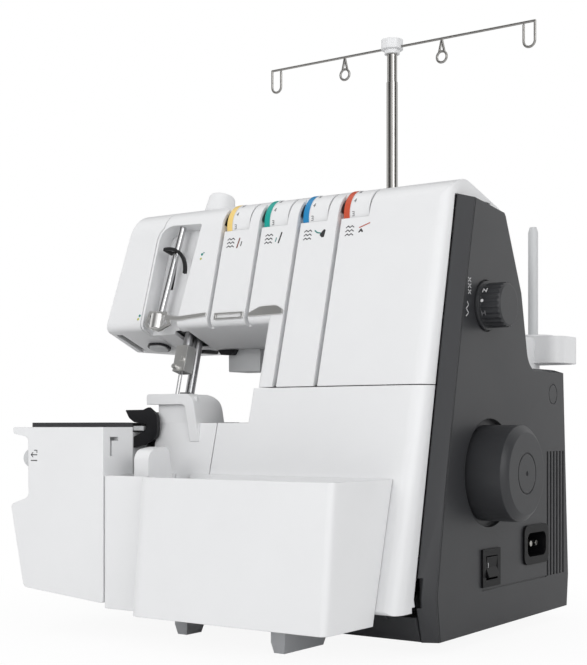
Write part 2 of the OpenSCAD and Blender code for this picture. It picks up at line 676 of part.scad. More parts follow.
slot_x = [for (i = [0:2]) needle_x - 6 + i * 6.5];
foot_y = front_y(bed_z) + needle_deep / cos(front_lean);
needle_hole_y = front_y(bed_z) + (needle_deep - needle_back) / cos(front_lean) - 0.3;
module needle_plate() place() color([0.75, 0.76, 0.77]) difference() {
    box(plate_l, plate_r, -1, plate_rear_y, bed_z - plate_t, bed_z + 0.4);
    for (i = [0:2]) box(slot_x[i] - slot_w / 2, slot_x[i] + slot_w / 2, foot_y + dog_from[i] - 1,
        foot_y + dog_end + feed_stroke + 0.8, 0, far);
    box(needle_x - 2.4, needle_x + 2.6, needle_hole_y - 1.6, needle_hole_y + 1.2, 0, far);
    box(plate_r - 13, plate_r - 10.5, -2, foot_y + 10, 0, far);
    for (y = [34, 52]) translate([plate_r - 6, y, 0]) cylinder(d = 4.4, h = far);
}
module feed_dogs() place() color([0.6, 0.61, 0.62]) {
    for (i = [0:2]) {
        y0 = foot_y + dog_from[i];
        x0 = slot_x[i] - slot_w / 2 + 0.35;
        x1 = slot_x[i] + slot_w / 2 - 0.35;
        box(x0, x1, y0, foot_y + dog_end, bed_z - 9, bed_z - 0.6);
        for (y = [y0 + 0.4:tooth_pitch:foot_y + dog_end - 2]) along_x(x0, x1)
            polygon([[y, bed_z - 0.8], [y + 2, bed_z - 0.8], [y + 1.6, bed_z + 0.1]]);
        box(x0, x1, foot_y + 2, foot_y + 12, bed_z - 15, bed_z - 8);
    }
    box(slot_x[0] - 1.3, slot_x[2] + 1.3, foot_y + 2, foot_y + 12, bed_z - 22, bed_z - 13.9);
}

// ================= thread stand =================
pole_x = col_l + 16;
pole_y = 158;
stand_z = shelf_z + 4.5;
stand_t = 20;
spool_x = [-24, -93, -163, -232];
spool_y = 192;
module stand_outline() polygon(rounded([[-258, 176, 14], [-150, 176, 6], [-143, 147, 6],
    [-113, 147, 6], [-106, 176, 6], [5, 176, 12], [5, stand_rear_y, 12], [-258, stand_rear_y, 14]]));
module spool_stand() place() color([0.92, 0.92, 0.93]) difference() {
    union() {
        difference() {
            translate([0, 0, stand_z]) linear_extrude(stand_t) stand_outline();
            translate([0, 0, stand_z - 1]) linear_extrude(stand_t - wall + 1)
                offset(delta = -wall) stand_outline();
        }
        for (x = spool_x) translate([x, spool_y, stand_z + 2]) cylinder(d = 14, h = stand_t);
        for (x = spool_x) translate([x, spool_y, stand_z + stand_t]) cylinder(d = 30, h = 1.6);
        translate([pole_x, pole_y, stand_z]) cylinder(d = pole_d + 9, h = stand_t + 6);
        // pedestal on the casing's shelf
        box(-100, -16, 153, 186, shelf_z + 0.2, stand_z + stand_t - 1);
    }
    for (x = spool_x) translate([x, spool_y, stand_z + 6]) cylinder(d = spool_pin_d + 0.1, h = 40);
    translate([pole_x, pole_y, 0]) cylinder(d = pole_d + 2 * shaft_fit, h = far);
}
module spool_pins() place() color([0.88, 0.88, 0.89]) for (x = spool_x)
    translate([x, spool_y, stand_z + 6]) {
        cylinder(d = spool_pin_d, h = stand_t + spool_pin_h - 10);
        translate([0, 0, stand_t + spool_pin_h - 10]) cylinder(d1 = spool_pin_d, d2 = spool_pin_d - 2.4,
            h = 4);
    }
tube_wall = 0.4;
inner_d = pole_d - 2 * tube_wall - 2 * shaft_fit;
pole_foot_z = shelf_z - 70;
wire_seat = wire_d / 2 + 0.2;
module pole_outer_tube() place() color([0.78, 0.78, 0.79]) difference() {
    translate([pole_x, pole_y, pole_foot_z]) cylinder(d = pole_d, h = pole_top_z - pole_foot_z);
    translate([pole_x, pole_y, pole_foot_z + 1]) cylinder(d = pole_d - 2 * tube_wall, h = far);
}
cap_z = antenna_z - 1.5;
cap_h = 7.5;
module pole_inner_tube() place() color([0.78, 0.78, 0.79])
    translate([pole_x, pole_y, pole_top_z - 200])
        cylinder(d = inner_d, h = antenna_z - wire_seat - pole_top_z + 200);
module antenna_cap() place() color([0.93, 0.93, 0.94]) difference() {
    union() {
        translate([pole_x, pole_y, cap_z]) cylinder(d = 17, h = cap_h);
        translate([pole_x, pole_y, cap_z - 3.5]) cylinder(d = 12, h = 4);
    }
    translate([pole_x, pole_y, antenna_z - wire_seat - 20]) cylinder(d = inner_d + 2 * shaft_fit, h = 20);
    rod_x(-far, far, pole_y, antenna_z, wire_d + 0.1);
}
eye_x = [-44, 44];
eye_r = 4.2;
hook_l = [-116, 121];
module eye(x) translate([x, 0, -14]) {
    rotate([90, 0, 0]) rotate_extrude() translate([eye_r, 0]) circle(d = wire_d, $fn = 20);
    for (s = [-1, 1]) translate([s * 2.4, 0, eye_r - 1]) rotate([0, -s * 13, 0])
        cylinder(d = wire_d, h = 11.4, $fn = 20);
}
module end_hook(x, s) translate([x, 0, 0]) {
    for (q = [0, s * 9]) translate([q, 0, -14]) cylinder(d = wire_d, h = q == 0 ? 14 : 12, $fn = 20);
    translate([s * 4.5, 0, -14]) rotate([90, 0, 0]) rotate([0, 0, 180]) rotate_extrude(angle = 180)
        translate([4.5, 0]) circle(d = wire_d, $fn = 20);
    sphere(d = wire_d, $fn = 20);
    translate([s * 9, 0, -2]) sphere(d = wire_d, $fn = 20);
}
module antenna_wire() place() color([0.72, 0.72, 0.73]) translate([pole_x, pole_y, antenna_z]) {
    translate([hook_l[0], 0, 0]) rotate([0, 90, 0]) cylinder(d = wire_d, h = hook_l[1] - hook_l[0], $fn = 20);
    for (x = eye_x) eye(x);
    end_hook(hook_l[0], 1);
    end_hook(hook_l[1], -1);
}

// ================= dials =================
dial_colours = [[0.93, 0.77, 0.2], [0.1, 0.62, 0.53], [0.1, 0.48, 0.72], [0.82, 0.25, 0.15]];
module tension_dial(i) {
    x0 = channel_x[i] + channel_w / 2 + run_gap;
    difference() {
        union() {
            color(dial_colours[i]) rod_x(x0, x0 + 5, dial_y, dial_z, tension_d);
            rod_x(x0 + 5 - eps, x0 + dial_w, dial_y, dial_z, tension_d - 0.8);
        }
        rod_x(-far, far, dial_y, dial_z, dial_axle_d + 2 * shaft_fit);
    }
}
module tension_dial_1() place() color([0.93, 0.93, 0.94]) tension_dial(0);
module tension_dial_2() place() color([0.93, 0.93, 0.94]) tension_dial(1);
module tension_dial_3() place() color([0.93, 0.93, 0.94]) tension_dial(2);
module tension_dial_4() place() color([0.93, 0.93, 0.94]) tension_dial(3);
bracket_x = [channel_x[0] - 7, channel_x[3] + dial_w + 5];
module tension_axle() place() color([0.66, 0.67, 0.68]) {
    rod_x(bracket_x[0] - 3, bracket_x[1] + 6, dial_y, dial_z, dial_axle_d);
}
stitch_out = 17;
module stitch_dial() place() color([0.27, 0.28, 0.3]) difference() {
    union() {
        rod_x(-1.1, 1.6, stitch_y, stitch_z, stitch_flange_d);
        rod_x(1.5, stitch_out - 1.5, stitch_y, stitch_z, stitch_dial_d);
        translate([stitch_out - 1.5, stitch_y, stitch_z]) rotate([0, 90, 0])
            cylinder(d1 = stitch_dial_d, d2 = stitch_dial_d - 3, h = 1.5);
        rod_x(upright_r[1] - 4, -1, stitch_y, stitch_z, 8);
    }
    for (a = [0:15:345]) translate([0, stitch_y, stitch_z]) rotate([a, 0, 0])
        rod_x(3.2, stitch_out + 1, 0, stitch_dial_d / 2 + 0.9, 3.4);
}
hub_d = 20;
module handwheel() place() color([0.27, 0.28, 0.3]) difference() {
    union() {
        rod_x(-recess_deep + run_gap + 0.4, handwheel_out - 4, shaft_y, shaft_z, handwheel_d);
        translate([handwheel_out - 4, shaft_y, shaft_z]) rotate([0, 90, 0])
            cylinder(d1 = handwheel_d, d2 = handwheel_d - 5, h = 2.4);
        translate([handwheel_out - 1.6, shaft_y, shaft_z]) rotate([0, 90, 0])
            cylinder(d1 = handwheel_d - 5, d2 = handwheel_d - 10, h = 1.6);
        rod_x(-9, 0, shaft_y, shaft_z, hub_d);
    }
    rod_x(-10, handwheel_out - 6, shaft_y, shaft_z, main_shaft_d + 2 * shaft_fit);
    difference() {
        rod_x(handwheel_out - 0.7, handwheel_out + 1, shaft_y, shaft_z, 28);
        rod_x(handwheel_out - 2, handwheel_out + 2, shaft_y, shaft_z, 26);
    }
    rod_x(handwheel_out - 0.8, handwheel_out + 1, shaft_y, shaft_z, 3.4);
}

// ================= drive =================
shaft_l = -196;
module main_shaft() place() color([0.66, 0.67, 0.68]) {
    rod_x(shaft_l, handwheel_out - 6.5, shaft_y, shaft_z, main_shaft_d);
    rod_x(-120, -112, shaft_y, shaft_z, 24);
    rod_x(-76, -68, shaft_y, shaft_z, 24);
}
bearing_d = 26;
module shaft_bearings() place() color([0.7, 0.71, 0.72]) for (u = [upright_r, upright_l]) difference() {
    rod_x(u[0] - 1, u[1] + 1, shaft_y, shaft_z, bearing_d);
    rod_x(u[0] - 2, u[1] + 2, shaft_y, shaft_z, main_shaft_d + 2 * shaft_fit);
}
belt_w = 8;
module shaft_pulley() place() color([0.16, 0.16, 0.17]) difference() {
    union() {
        rod_x(belt_x - belt_w / 2 - 1.5, belt_x + belt_w / 2 + 1.5, shaft_y, shaft_z, big_pulley_d);
        rod_x(belt_x - belt_w / 2 - 3, belt_x, shaft_y, shaft_z, 22);
    }
    difference() {
        rod_x(belt_x - belt_w / 2, belt_x + belt_w / 2, shaft_y, shaft_z, big_pulley_d + 2);
        rod_x(belt_x - belt_w / 2 - 1, belt_x + belt_w / 2 + 1, shaft_y, shaft_z, big_pulley_d - 4);
    }
    rod_x(-far, far, shaft_y, shaft_z, main_shaft_d + 2 * shaft_fit);
    for (a = [0:60:300]) translate([0, shaft_y, shaft_z]) rotate([a, 0, 0])
        rod_x(belt_x - 8, belt_x + 8, 0, 19, 9);
}
belt_t = 1.6;
module drive_belt() place() color([0.1, 0.1, 0.11]) along_x(belt_x - belt_w / 2 + 0.4,
    belt_x + belt_w / 2 - 0.4)
    difference() {
        belt_loop(belt_t + run_gap);
        belt_loop(run_gap);
    }
module belt_loop(t) hull() {
    translate([shaft_y, shaft_z]) circle(d = big_pulley_d - 4 + 2 * t);
    translate([motor_y, motor_z]) circle(d = small_pulley_d - 3 + 2 * t);
}
motor_d = 58;
motor_x = [-128, -42];
module motor() place() color([0.35, 0.36, 0.37]) {
    rod_x(motor_x[0], motor_x[1], motor_y, motor_z, motor_d);
    rod_x(motor_x[0] - 9, motor_x[0] + 1, motor_y, motor_z, 24);
    rod_x(motor_x[1] - 1, motor_x[1] + 5, motor_y, motor_z, 24);
    for (x = [motor_x[0] + 12, motor_x[1] - 24])
        box(x, x + 12, motor_y - 22, motor_y + 22, frame_z + frame_t, motor_z - 18);
}
module motor_pulley() place() color([0.16, 0.16, 0.17]) difference() {
    union() {
        rod_x(belt_x - belt_w / 2 - 1.5, belt_x + belt_w / 2 + 1.5, motor_y, motor_z, small_pulley_d);
        rod_x(motor_x[1] + 5.4, belt_x, motor_y, motor_z, 9);
    }
    difference() {
        rod_x(belt_x - belt_w / 2, belt_x + belt_w / 2, motor_y, motor_z, small_pulley_d + 2);
        rod_x(belt_x - belt_w / 2 - 1, belt_x + belt_w / 2 + 1, motor_y, motor_z, small_pulley_d - 3);
    }
}
frame_t = 6;
lower_looper_at = [needle_x + 44, 12, 76];
upper_looper_at = [needle_x + 62, 0, 92];
looper_pin_d = 6;
guide_z = [head_z + 9, head_z + 29];  // guides of both bars, and the presser bar's upper one
presser_guide_z = casing_h - 37.5;
guide_h = 8;
end_plate_x = needle_x - 28;
module upright_outline() polygon(rounded([[20, frame_z, 0], [34, 200, 0], [44, casing_h - 47.5, 10],
    [96, casing_h - 47.5, 12], [118, 200, 20], [124, frame_z, 0]]));
module frame_casting() place() color([0.6, 0.61, 0.62]) difference() {
    union() {
        box(-208, -30, 20, bed_rear_y - 8, frame_z, frame_z + frame_t);
        box(col_l + 6, -30, 20, 180, frame_z, frame_z + frame_t);
        for (u = [upright_r, upright_l]) along_x(u[0], u[1]) upright_outline();
        // arm that reaches over the bed, and its end plate
        box(end_plate_x, upright_l[1], arm_y - 12, arm_y + 12, arm_z + 12, arm_z + 22);
        box(end_plate_x, upright_l[1], arm_y - 12, arm_y - 7, arm_z - 8, arm_z + 13);
        for (z = guide_z) lean() box(needle_x - 9, needle_x + 9, needle_deep - 1.5, presser_deep + 8,
            up(z, presser_deep), up(z, presser_deep) + guide_h);
        box(end_plate_x, end_plate_x + 5, 50, arm_y + 8, arm_z - 28, arm_z + 46);
        lean() box(needle_x - 9, needle_x + 9, presser_deep - 6, presser_deep + 8,
            up(presser_guide_z, presser_deep), up(presser_guide_z, presser_deep) + guide_h);
        for (z = concat(guide_z, presser_guide_z)) lean() box(end_plate_x, needle_x - 8, presser_deep - 2,
            presser_deep + 8, up(z, presser_deep), up(z, presser_deep) + guide_h);
        // dial brackets on the arm and the upright
        box(bracket_x[0] - 3, bracket_x[0] + 1, dial_y - 6, arm_y + 6, arm_z + 20, dial_z + 6);
        box(bracket_x[1], bracket_x[1] + 4, dial_y - 6, 92, 240, dial_z + 6);
        box(bracket_x[1], upright_r[0] + 1, 70, 92, 240, 248);
        // plate that carries the bed behind the loopers
        box(base_l + wall + seam, upright_l[0] + 1, 50, 58, frame_z, bed_z - plate_t);
        box(mech_l + seam, base_l + wall + 2, 50, 58, arm_bottom_z + wall + seam, bed_z - plate_t);
        for (p = [lower_looper_at, upper_looper_at]) rod_y(p.y - 4, 52, p.x, p.z, looper_pin_d);
    }
    box(needle_x + 8, needle_x + 18, 50, arm_y - 4, arm_z - 20, arm_z + 14);
    for (u = [upright_r, upright_l]) rod_x(u[0] - 2, u[1] + 2, shaft_y, shaft_z, bearing_d);
    rod_x(-far, -60, arm_y, arm_z, arm_shaft_d + 2 * shaft_fit);
    rod_x(-far, far, dial_y, dial_z, dial_axle_d);
    rod_x(upright_r[0] - 4, far, stitch_y, stitch_z, 8 + 2 * shaft_fit);
    lean() translate([needle_x, needle_deep, 0]) cylinder(d = needle_bar_d + 2 * shaft_fit, h = far);
    lean() translate([needle_x, presser_deep, 0]) cylinder(d = presser_bar_d + 2 * shaft_fit, h = far);
}

// ================= power =================
module switch_housing() place() color([0.08, 0.08, 0.09]) difference() {
    union() {
        box(-18, 0.8, switch_box[0] + 0.3, switch_box[1] - 0.3, switch_box[2] + 0.3, switch_box[3] - 0.3);
        box(0, 1.4, switch_box[0] - 1.2, switch_box[1] + 1.2, switch_box[2] - 1.2, switch_box[3] + 1.2);
    }
    box(-6.5, 2, switch_box[0] + 3.5, switch_box[1] - 3.5, switch_box[2] + 3.5, switch_box[3] - 3.5);
    rod_y(rocker_y - 10.2, rocker_y + 10.2, -2, rocker_z, rocker_pin_d + 2 * shaft_fit);
}
rocker_y = (switch_box[0] + switch_box[1]) / 2;
rocker_z = (switch_box[2] + switch_box[3]) / 2;
rocker_tilt = 7;
rocker_pin_d = 2.6;
module switch_rocker() place() color([0.1, 0.1, 0.11]) translate([-2, rocker_y, rocker_z]) {
    rod_y(-10, 10, 0, 0, rocker_pin_d);
    rotate([0, -rocker_tilt, 0]) along_y(-7.8, 7.8)
        polygon(rounded([[-2.4, -2, 0], [-2.4, 2, 0], [2.6, 6.9, 0.8], [4.6, 6.9, 0.6], [3, 0, 0],
            [4.6, -6.9, 0.6], [2.6, -6.9, 0.8]]));
}
module power_inlet() place() color([0.08, 0.08, 0.09]) difference() {
    union() {
        box(-inlet_deep, 0, inlet_box[0] + 0.3, inlet_box[1] - 0.3, inlet_box[2] + 0.3, inlet_box[3] - 0.3);
        along_x(0, 1.6) polygon(rounded([[inlet_box[0] - 1, inlet_box[2] - 1, 6],
            [inlet_box[1] + 1, inlet_box[2] - 1, 6], [inlet_box[1] + 1, inlet_box[3] + 1, 6],
            [inlet_box[0] - 1, inlet_box[3] + 1, 6]]));
    }
    along_x(3 - inlet_deep, 3) polygon(rounded([[inlet_box[0] + 4, inlet_box[2] + 4.5, 5],
        [inlet_box[1] - 4, inlet_box[2] + 4.5, 5], [inlet_box[1] - 4, inlet_box[3] - 4.5, 5],
        [inlet_box[0] + 4, inlet_box[3] - 4.5, 5]]));
    for (i = [-1:1]) rod_x(-inlet_deep - 3, 0, inlet_y + i * 9.2, inlet_z, pin_d + 0.1);
}
inlet_y = (inlet_box[0] + inlet_box[1]) / 2;
inlet_z = (inlet_box[2] + inlet_box[3]) / 2;
pin_d = 4;
inlet_deep = 17;
module inlet_pins() place() color([0.75, 0.7, 0.5]) for (i = [-1:1])
    rod_x(-inlet_deep - 2.5, -3, inlet_y + i * 9.2, inlet_z, pin_d);

// ================= needle and presser mechanism =================
lever_l = 46;
module arm_shaft() place() color([0.66, 0.67, 0.68]) {
    rod_x(needle_x - 24, upright_l[1] + 12, arm_y, arm_z, arm_shaft_d);
    difference() {
        hull() {
            rod_x(needle_x + 10, needle_x + 16, arm_y, arm_z, 20);
            rod_x(needle_x + 10, needle_x + 16, arm_y - 26, arm_z + 10, 9);
        }
        rod_x(needle_x, needle_x + 20, arm_y - 26, arm_z + 10, 4);
    }
    hull() {
        rod_x(upright_l[1] + 2, upright_l[1] + 8, arm_y, arm_z, 20);
        rod_x(upright_l[1] + 2, upright_l[1] + 8, arm_y + 4, arm_z - 24, 10);
    }
}
take_up_at = [head_l + 51.3, up(recess_top_z - 39)];   // centre of the hook's arc, across and up the front
take_up_r = 22;
take_up_w = 2.4;
take_up_arm = head_l + 47.7;          // left side of the arm that goes through the cover
needle_up = 24;
bar_bottom_z = 198;
block_z = take_up_at.y + take_up_r - 6;
module needle_bar() place() color([0.8, 0.8, 0.81]) lean() translate([needle_x, needle_deep, 0]) {
    translate([0, 0, up(bar_bottom_z, needle_deep)])
        cylinder(d = needle_bar_d, h = up(casing_h - 25.5) - up(bar_bottom_z));
    translate([-6, -5, block_z]) cube([12, 9, 8]);
}
clamp_z = 184;
module needle_clamp() place() color([0.7, 0.71, 0.72]) lean()
    translate([needle_x, needle_deep, up(clamp_z, needle_deep)]) difference() {
    union() {
        translate([-5.5, -6, 0]) cube([11, 10, 20]);
        translate([-2.4, -6, 3]) rotate([90, 0, 0]) cylinder(d = 3.6, h = 3.5);
        translate([2.6, -6, 9]) rotate([90, 0, 0]) cylinder(d = 3.6, h = 3.5);
    }
    translate([0, 0, up(bar_bottom_z) - up(clamp_z)]) cylinder(d = needle_bar_d + 0.1, h = 30);
    for (x = [-1.2, 1.4]) translate([x, -needle_back, -1]) cylinder(d = 2, h = 13);
}
module needles() place() color([0.8, 0.8, 0.81]) for (x = [-1.2, 1.4])
    lean() translate([needle_x + x, needle_deep - needle_back, up(clamp_z, needle_deep)]) {
        translate([0, 0, -1]) cylinder(d = 2, h = 13);
        translate([0, 0, -18]) cylinder(d = 0.9, h = 18, $fn = 24);
        translate([0, 0, -22]) cylinder(d1 = 0.2, d2 = 0.9, h = 4, $fn = 24);
    }
presser_foot_z = bed_z + 0.7;
presser_bar_z = presser_foot_z + 12;
module presser_bar() place() color([0.72, 0.73, 0.74]) lean() translate([needle_x, presser_deep, 0]) {
    translate([0, 0, up(presser_bar_z, presser_deep)])
        cylinder(d = presser_bar_d, h = up(casing_h - 27.5) - up(presser_bar_z));
    translate([0, 0, collar_z]) cylinder(d = 12.4, h = 6);
}
module presser_foot() place() color([0.72, 0.73, 0.74]) {
    pf_y = front_y(presser_bar_z) + presser_deep / cos(front_lean);
    difference() {
        union() {
            // ankle
            lean() translate([needle_x - 5, presser_deep - 5.5, up(presser_bar_z, presser_deep) - 5])
                cube([10, 11, 14]);
            box(needle_x - 4.5, needle_x + 4.5, pf_y - 5.5, pf_y + 1, presser_foot_z + 2, presser_foot_z + 9);
            // sole with its upturned toe
            difference() {
                along_x(needle_x - 9, needle_x + 17) polygon(rounded([[foot_y - 17, presser_foot_z + 5, 0],
                    [foot_y - 11.5, presser_foot_z, 3], [foot_y + 18, presser_foot_z, 0],
                    [foot_y + 18, presser_foot_z + 2.4, 0], [foot_y - 10.5, presser_foot_z + 2.4, 3],
                    [foot_y - 16.4, presser_foot_z + 7, 0]]));
                box(needle_x - 3.2, needle_x + 3.4, foot_y - 6, foot_y + 1.4, 0, far);
                box(needle_x + 9.4, needle_x + 11.6, foot_y - 40, foot_y + 6, 0, far);
            }
        }
        lean() translate([needle_x, presser_deep, up(presser_bar_z, presser_deep)])
            cylinder(d = presser_bar_d + 0.1, h = 30);
    }
}
lifter_x = needle_x + 20;
lifter_y = 121;
lifter_z = head_z + 27;
module presser_lifter() place() color([0.2, 0.2, 0.21]) {
    rod_x(lifter_x - 8, lifter_x + 16, lifter_y - 8, lifter_z, 8);
    hull() {
        rod_x(lifter_x, lifter_x + 8, lifter_y - 8, lifter_z, 12);
        rod_x(lifter_x, lifter_x + 8, lifter_y + 22, lifter_z - 12, 8);
    }
    hull() {
        rod_x(lifter_x, lifter_x + 8, lifter_y + 22, lifter_z - 12, 8);
        rod_x(lifter_x - 2, lifter_x + 10, lifter_y + 44, lifter_z - 16, 7);
    }
}
presser_lift = 6;
collar_z = up(245, presser_deep);
spring_z = collar_z + 6;
spring_h = up(presser_guide_z, presser_deep) - spring_z - presser_lift - 0.4;
spring_turns = 9;
spring_pitch = spring_h / spring_turns;
module presser_spring() place() color([0.6, 0.61, 0.62]) lean()
    translate([needle_x, presser_deep, spring_z]) difference() {
        cylinder(d = presser_bar_d + 4.8, h = spring_h);
        translate([0, 0, -1]) cylinder(d = presser_bar_d + 1.2, h = 40);
        for (i = [0:spring_turns - 1]) translate([0, 0, 1.4 + i * spring_pitch]) difference() {
            cylinder(d = 20, h = spring_pitch - 1.6);
            translate([0, 0, -1]) cylinder(d = presser_bar_d + 3.2, h = 6);
        }
    }
knob_rise = 14;                       // above the casing
knob_base_z = casing_h - 18;
module pressure_knob() place() color([0.93, 0.93, 0.94]) lean() translate([needle_x, presser_deep, 0])
    difference() {
        union() {
            translate([0, 0, up(knob_base_z, presser_deep)]) rotate_extrude() polygon(rounded([[0, 0, 0],
                [knob_d / 2, 0, 0], [knob_d / 2, 17, 1], [knob_d / 2 - 2.2, 18 + knob_rise, 3],
                [0, 18 + knob_rise, 0]]));
            translate([0, 0, up(knob_base_z, presser_deep) - 4]) cylinder(d = knob_d + 4, h = 5);
        }
        translate([0, 0, up(knob_base_z, presser_deep) - 5]) cylinder(d = presser_bar_d + 1, h = 20);
    }

// ================= loopers and knives =================
module looper_arm(at, tip, w, reach) {
    translate([at.x, 0, at.z]) difference() {
        union() {
            rod_y(at.y - 3, at.y + 3, 0, 0, 14);
            hull() {
                rod_y(at.y - 2, at.y + 2, 0, 0, 10);
                rod_y(at.y - 2, at.y + 2, tip.x, tip.y, w);
            }
            hull() {
                rod_y(at.y - 2, at.y + 2, tip.x, tip.y, w);
                rod_y(at.y - 1, at.y + 1, tip.x + reach.x, tip.y + reach.y, 2);
            }
        }
        rod_y(-far, far, 0, 0, looper_pin_d + 2 * shaft_fit);
    }
}
module lower_looper() place() color([0.74, 0.75, 0.76])
    looper_arm(lower_looper_at, [-22, 46], 6, [-26, 6]);
module upper_looper() place() color([0.74, 0.75, 0.76])
    looper_arm(upper_looper_at, [-26, 30], 6, [-16, 14]);
knife_at = [26, bed_z + 5];           // the upper knife's pivot
module upper_knife() place() color([0.74, 0.75, 0.76]) {
    kx = plate_r + 3.7;
    rod_x(kx - 6, kx + 2.4, knife_at[0], knife_at[1], 8);
    hull() {
        rod_x(kx, kx + 2.4, knife_at[0], knife_at[1], 7);
        rod_x(kx, kx + 2.4, foot_y - 4, bed_z + 10, 7);
    }
    box(kx, kx + 2.4, foot_y - 8, foot_y, bed_z + 1, bed_z + 12);
}
module lower_knife() place() color([0.74, 0.75, 0.76]) {
    box(plate_r + 1, plate_r + 3.4, foot_y - 10, foot_y + 2, bed_z - 9, bed_z - 0.2);
    box(plate_r + 1, plate_r + 3.4, foot_y, 50, bed_z - 9, bed_z - plate_t - 1);
}
module take_up_lever() place() color([0.12, 0.12, 0.13]) lean() {
    translate([take_up_at.x, 0.8, take_up_at.y]) rotate([90, 0, 0]) linear_extrude(2.2) difference() {
        circle(r = take_up_r);
        circle(r = take_up_r - take_up_w);
        translate([-50, -50]) square([50 + take_up_arm - take_up_at.x, 100]);
        translate([-50, -50]) square([100, 50]);
    }
    translate([take_up_arm, 0.5, take_up_at.y + take_up_r - take_up_w - 0.3])
        cube([take_up_w, needle_deep + 2.5, take_up_w]);
    translate([take_up_arm, needle_deep + 0.6, take_up_at.y + take_up_r - take_up_w - 0.3])
        cube([needle_x - 6.05 - take_up_arm, take_up_w, take_up_w]);
}
rod_d = 5.4;
rod_foot_x = take_up_arm + 2.8;
rod_tilt = 6;
module thread_guide_rod() place() color([0.85, 0.85, 0.86]) intersection() {
    lean() translate([rod_foot_x, 5, up(217) + 11.6]) rotate([0, rod_tilt, 0]) cylinder(d = rod_d, h = 100);
    recess_cut(0.15);
}
module front_sheet() lean() translate([0, -0.2, 0]) rotate([90, 0, 0]) linear_extrude(1.4) children();
module thread_guide_bar() place() color([0.7, 0.7, 0.71]) {
    front_sheet() polygon([[needle_x - 8, up(226.5)], [needle_x + 5.4, up(224.9)],
        [channel_x[0] - 2.6, up(226.6)], [channel_x[0] - 2.6, up(224.2)], [needle_x + 6, up(222.2)],
        [needle_x - 8, up(223.4)]]);
    front_sheet() difference() {
        translate([channel_x[0] + 6, up(221)]) square([channel_x[1] - channel_x[0] - 8.6, 4.8]);
        translate([channel_x[0] + 7.4, up(221) + 1]) square([channel_x[1] - channel_x[0] - 11.4, 2.6]);
    }
    front_sheet() polygon(rounded([[channel_x[1] + 2.6, up(222), 0.5], [channel_x[1] + 2.6, up(224.2), 0.5],
        [-151, up(228.4), 8], [-137, up(228.7), 6], [channel_x[2] - 2, up(225.4), 1],
        [channel_x[2] - 2, up(222.4), 1]]));
    // clip round the foot of the rod, over the end of the recess
    lean() translate([head_l + 52.5, 1, up(217)]) cylinder(d = 11, h = 11);
    front_sheet() difference() {
        clip_outline(0);
        clip_outline(2.4);
    }
    front_sheet() translate([head_l + 51.5, up(215.5)]) square([2, 13]);
}
module clip_outline(inset) offset(delta = -inset) polygon(rounded([[-257, up(221), 1], [-254, up(230.2), 1],
    [-237.1, up(229.3), 1], [-231, up(219.2), 1], [-242.6, up(214.4), 2], [-254.6, up(218), 1]]));
module circuit_board() place() color([0.1, 0.35, 0.2]) {
    box(-128, -60, 60, 110, frame_z + frame_t + 6, frame_z + frame_t + 7.6);
    for (x = [-124, -66]) for (y = [64, 104]) translate([x + 1, y + 1,
        frame_z + frame_t]) cylinder(d = 5, h = 6);
    box(-118, -100, 66, 84, frame_z + frame_t + 7.6, frame_z + frame_t + 20);
    box(-92, -76, 70, 92, frame_z + frame_t + 7.6, frame_z + frame_t + 16);
}
module sewing_lamp() place() color([0.75, 0.76, 0.77])
    along_y(68, 92) polygon(rounded([[needle_x + 10, head_z, 0], [needle_x + 10, head_z - 17, 1.2],
        [needle_x + 40, head_z - 17, 1], [needle_x + 40, head_z, 0]]));
// Frame on the slope under the front of the head: X across, Y down the slope, Z into the head
module head_slope() translate([0, head_chamfer_y, head_z])
    rotate([atan2(head_z - head_front_z, head_chamfer_y - front_y(head_front_z)), 0, 0]) children();
module lens_outline(r) hull() for (x = [head_l + 27.5, head_l + 33.5]) translate([x, -9.5]) circle(r = r);
module lamp_lens() place() color([0.85, 0.86, 0.87])
    head_slope() translate([0, 0, -2.6]) linear_extrude(2.4) lens_outline(5.2);
module lamp_bezel() place() color([0.14, 0.14, 0.15])
    head_slope() translate([0, 0, -1.9]) linear_extrude(1.7) difference() {
        lens_outline(6.8);
        lens_outline(5.5);
    }
module head_clips() place() color([0.12, 0.12, 0.13]) {
    along_y(54, 72) polygon(rounded([[needle_x - 10, head_z - 0.2, 0], [needle_x - 9, head_z - 2.8, 1.2],
        [needle_x - 4, head_z - 2.8, 1.2], [needle_x - 3, head_z - 0.2, 0]]));
    along_y(62, 67.5) polygon(rounded([[needle_x + 4, head_z - 0.2, 0], [needle_x + 7, head_z - 4, 2],
        [needle_x + 17, head_z - 4.4, 2], [needle_x + 20, head_z - 0.2, 0]]));
}
module cover_screws() place() color([0.5, 0.51, 0.52]) {
    for (p = side_boss_at) rod_x(-30, -11, p[0], p[1], 4);
}

base_tray();
feet();
right_side_cover();
front_upper_cover();
face_cover();
rear_cover();
looper_cover();
cover_hinge_rod();
finger_guard();
trim_bin();
extension_table();
table_plate();
table_release_button();
bed_arm();
bed_plate();
needle_plate();
feed_dogs();
spool_stand();
spool_pins();
pole_outer_tube();
pole_inner_tube();
antenna_cap();
antenna_wire();
tension_dial_1();
tension_dial_2();
tension_dial_3();
tension_dial_4();
tension_axle();
stitch_dial();
handwheel();
main_shaft();
shaft_bearings();
shaft_pulley();
drive_belt();
motor();
motor_pulley();
frame_casting();
switch_housing();
switch_rocker();
power_inlet();
inlet_pins();
arm_shaft();
needle_bar();
needle_clamp();
needles();
presser_bar();
presser_foot();
presser_lifter();
presser_spring();
pressure_knob();
upper_looper();
lower_looper();
upper_knife();
lower_knife();
take_up_lever();
thread_guide_rod();
thread_guide_bar();
circuit_board();
sewing_lamp();
lamp_lens();
lamp_bezel();
head_clips();
looper_shield();
shield_lever();
cover_screws();
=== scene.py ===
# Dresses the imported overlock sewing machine: camera, light, finishes and printed marks.
import math

import bmesh
import bpy
from mathutils import Matrix, Vector


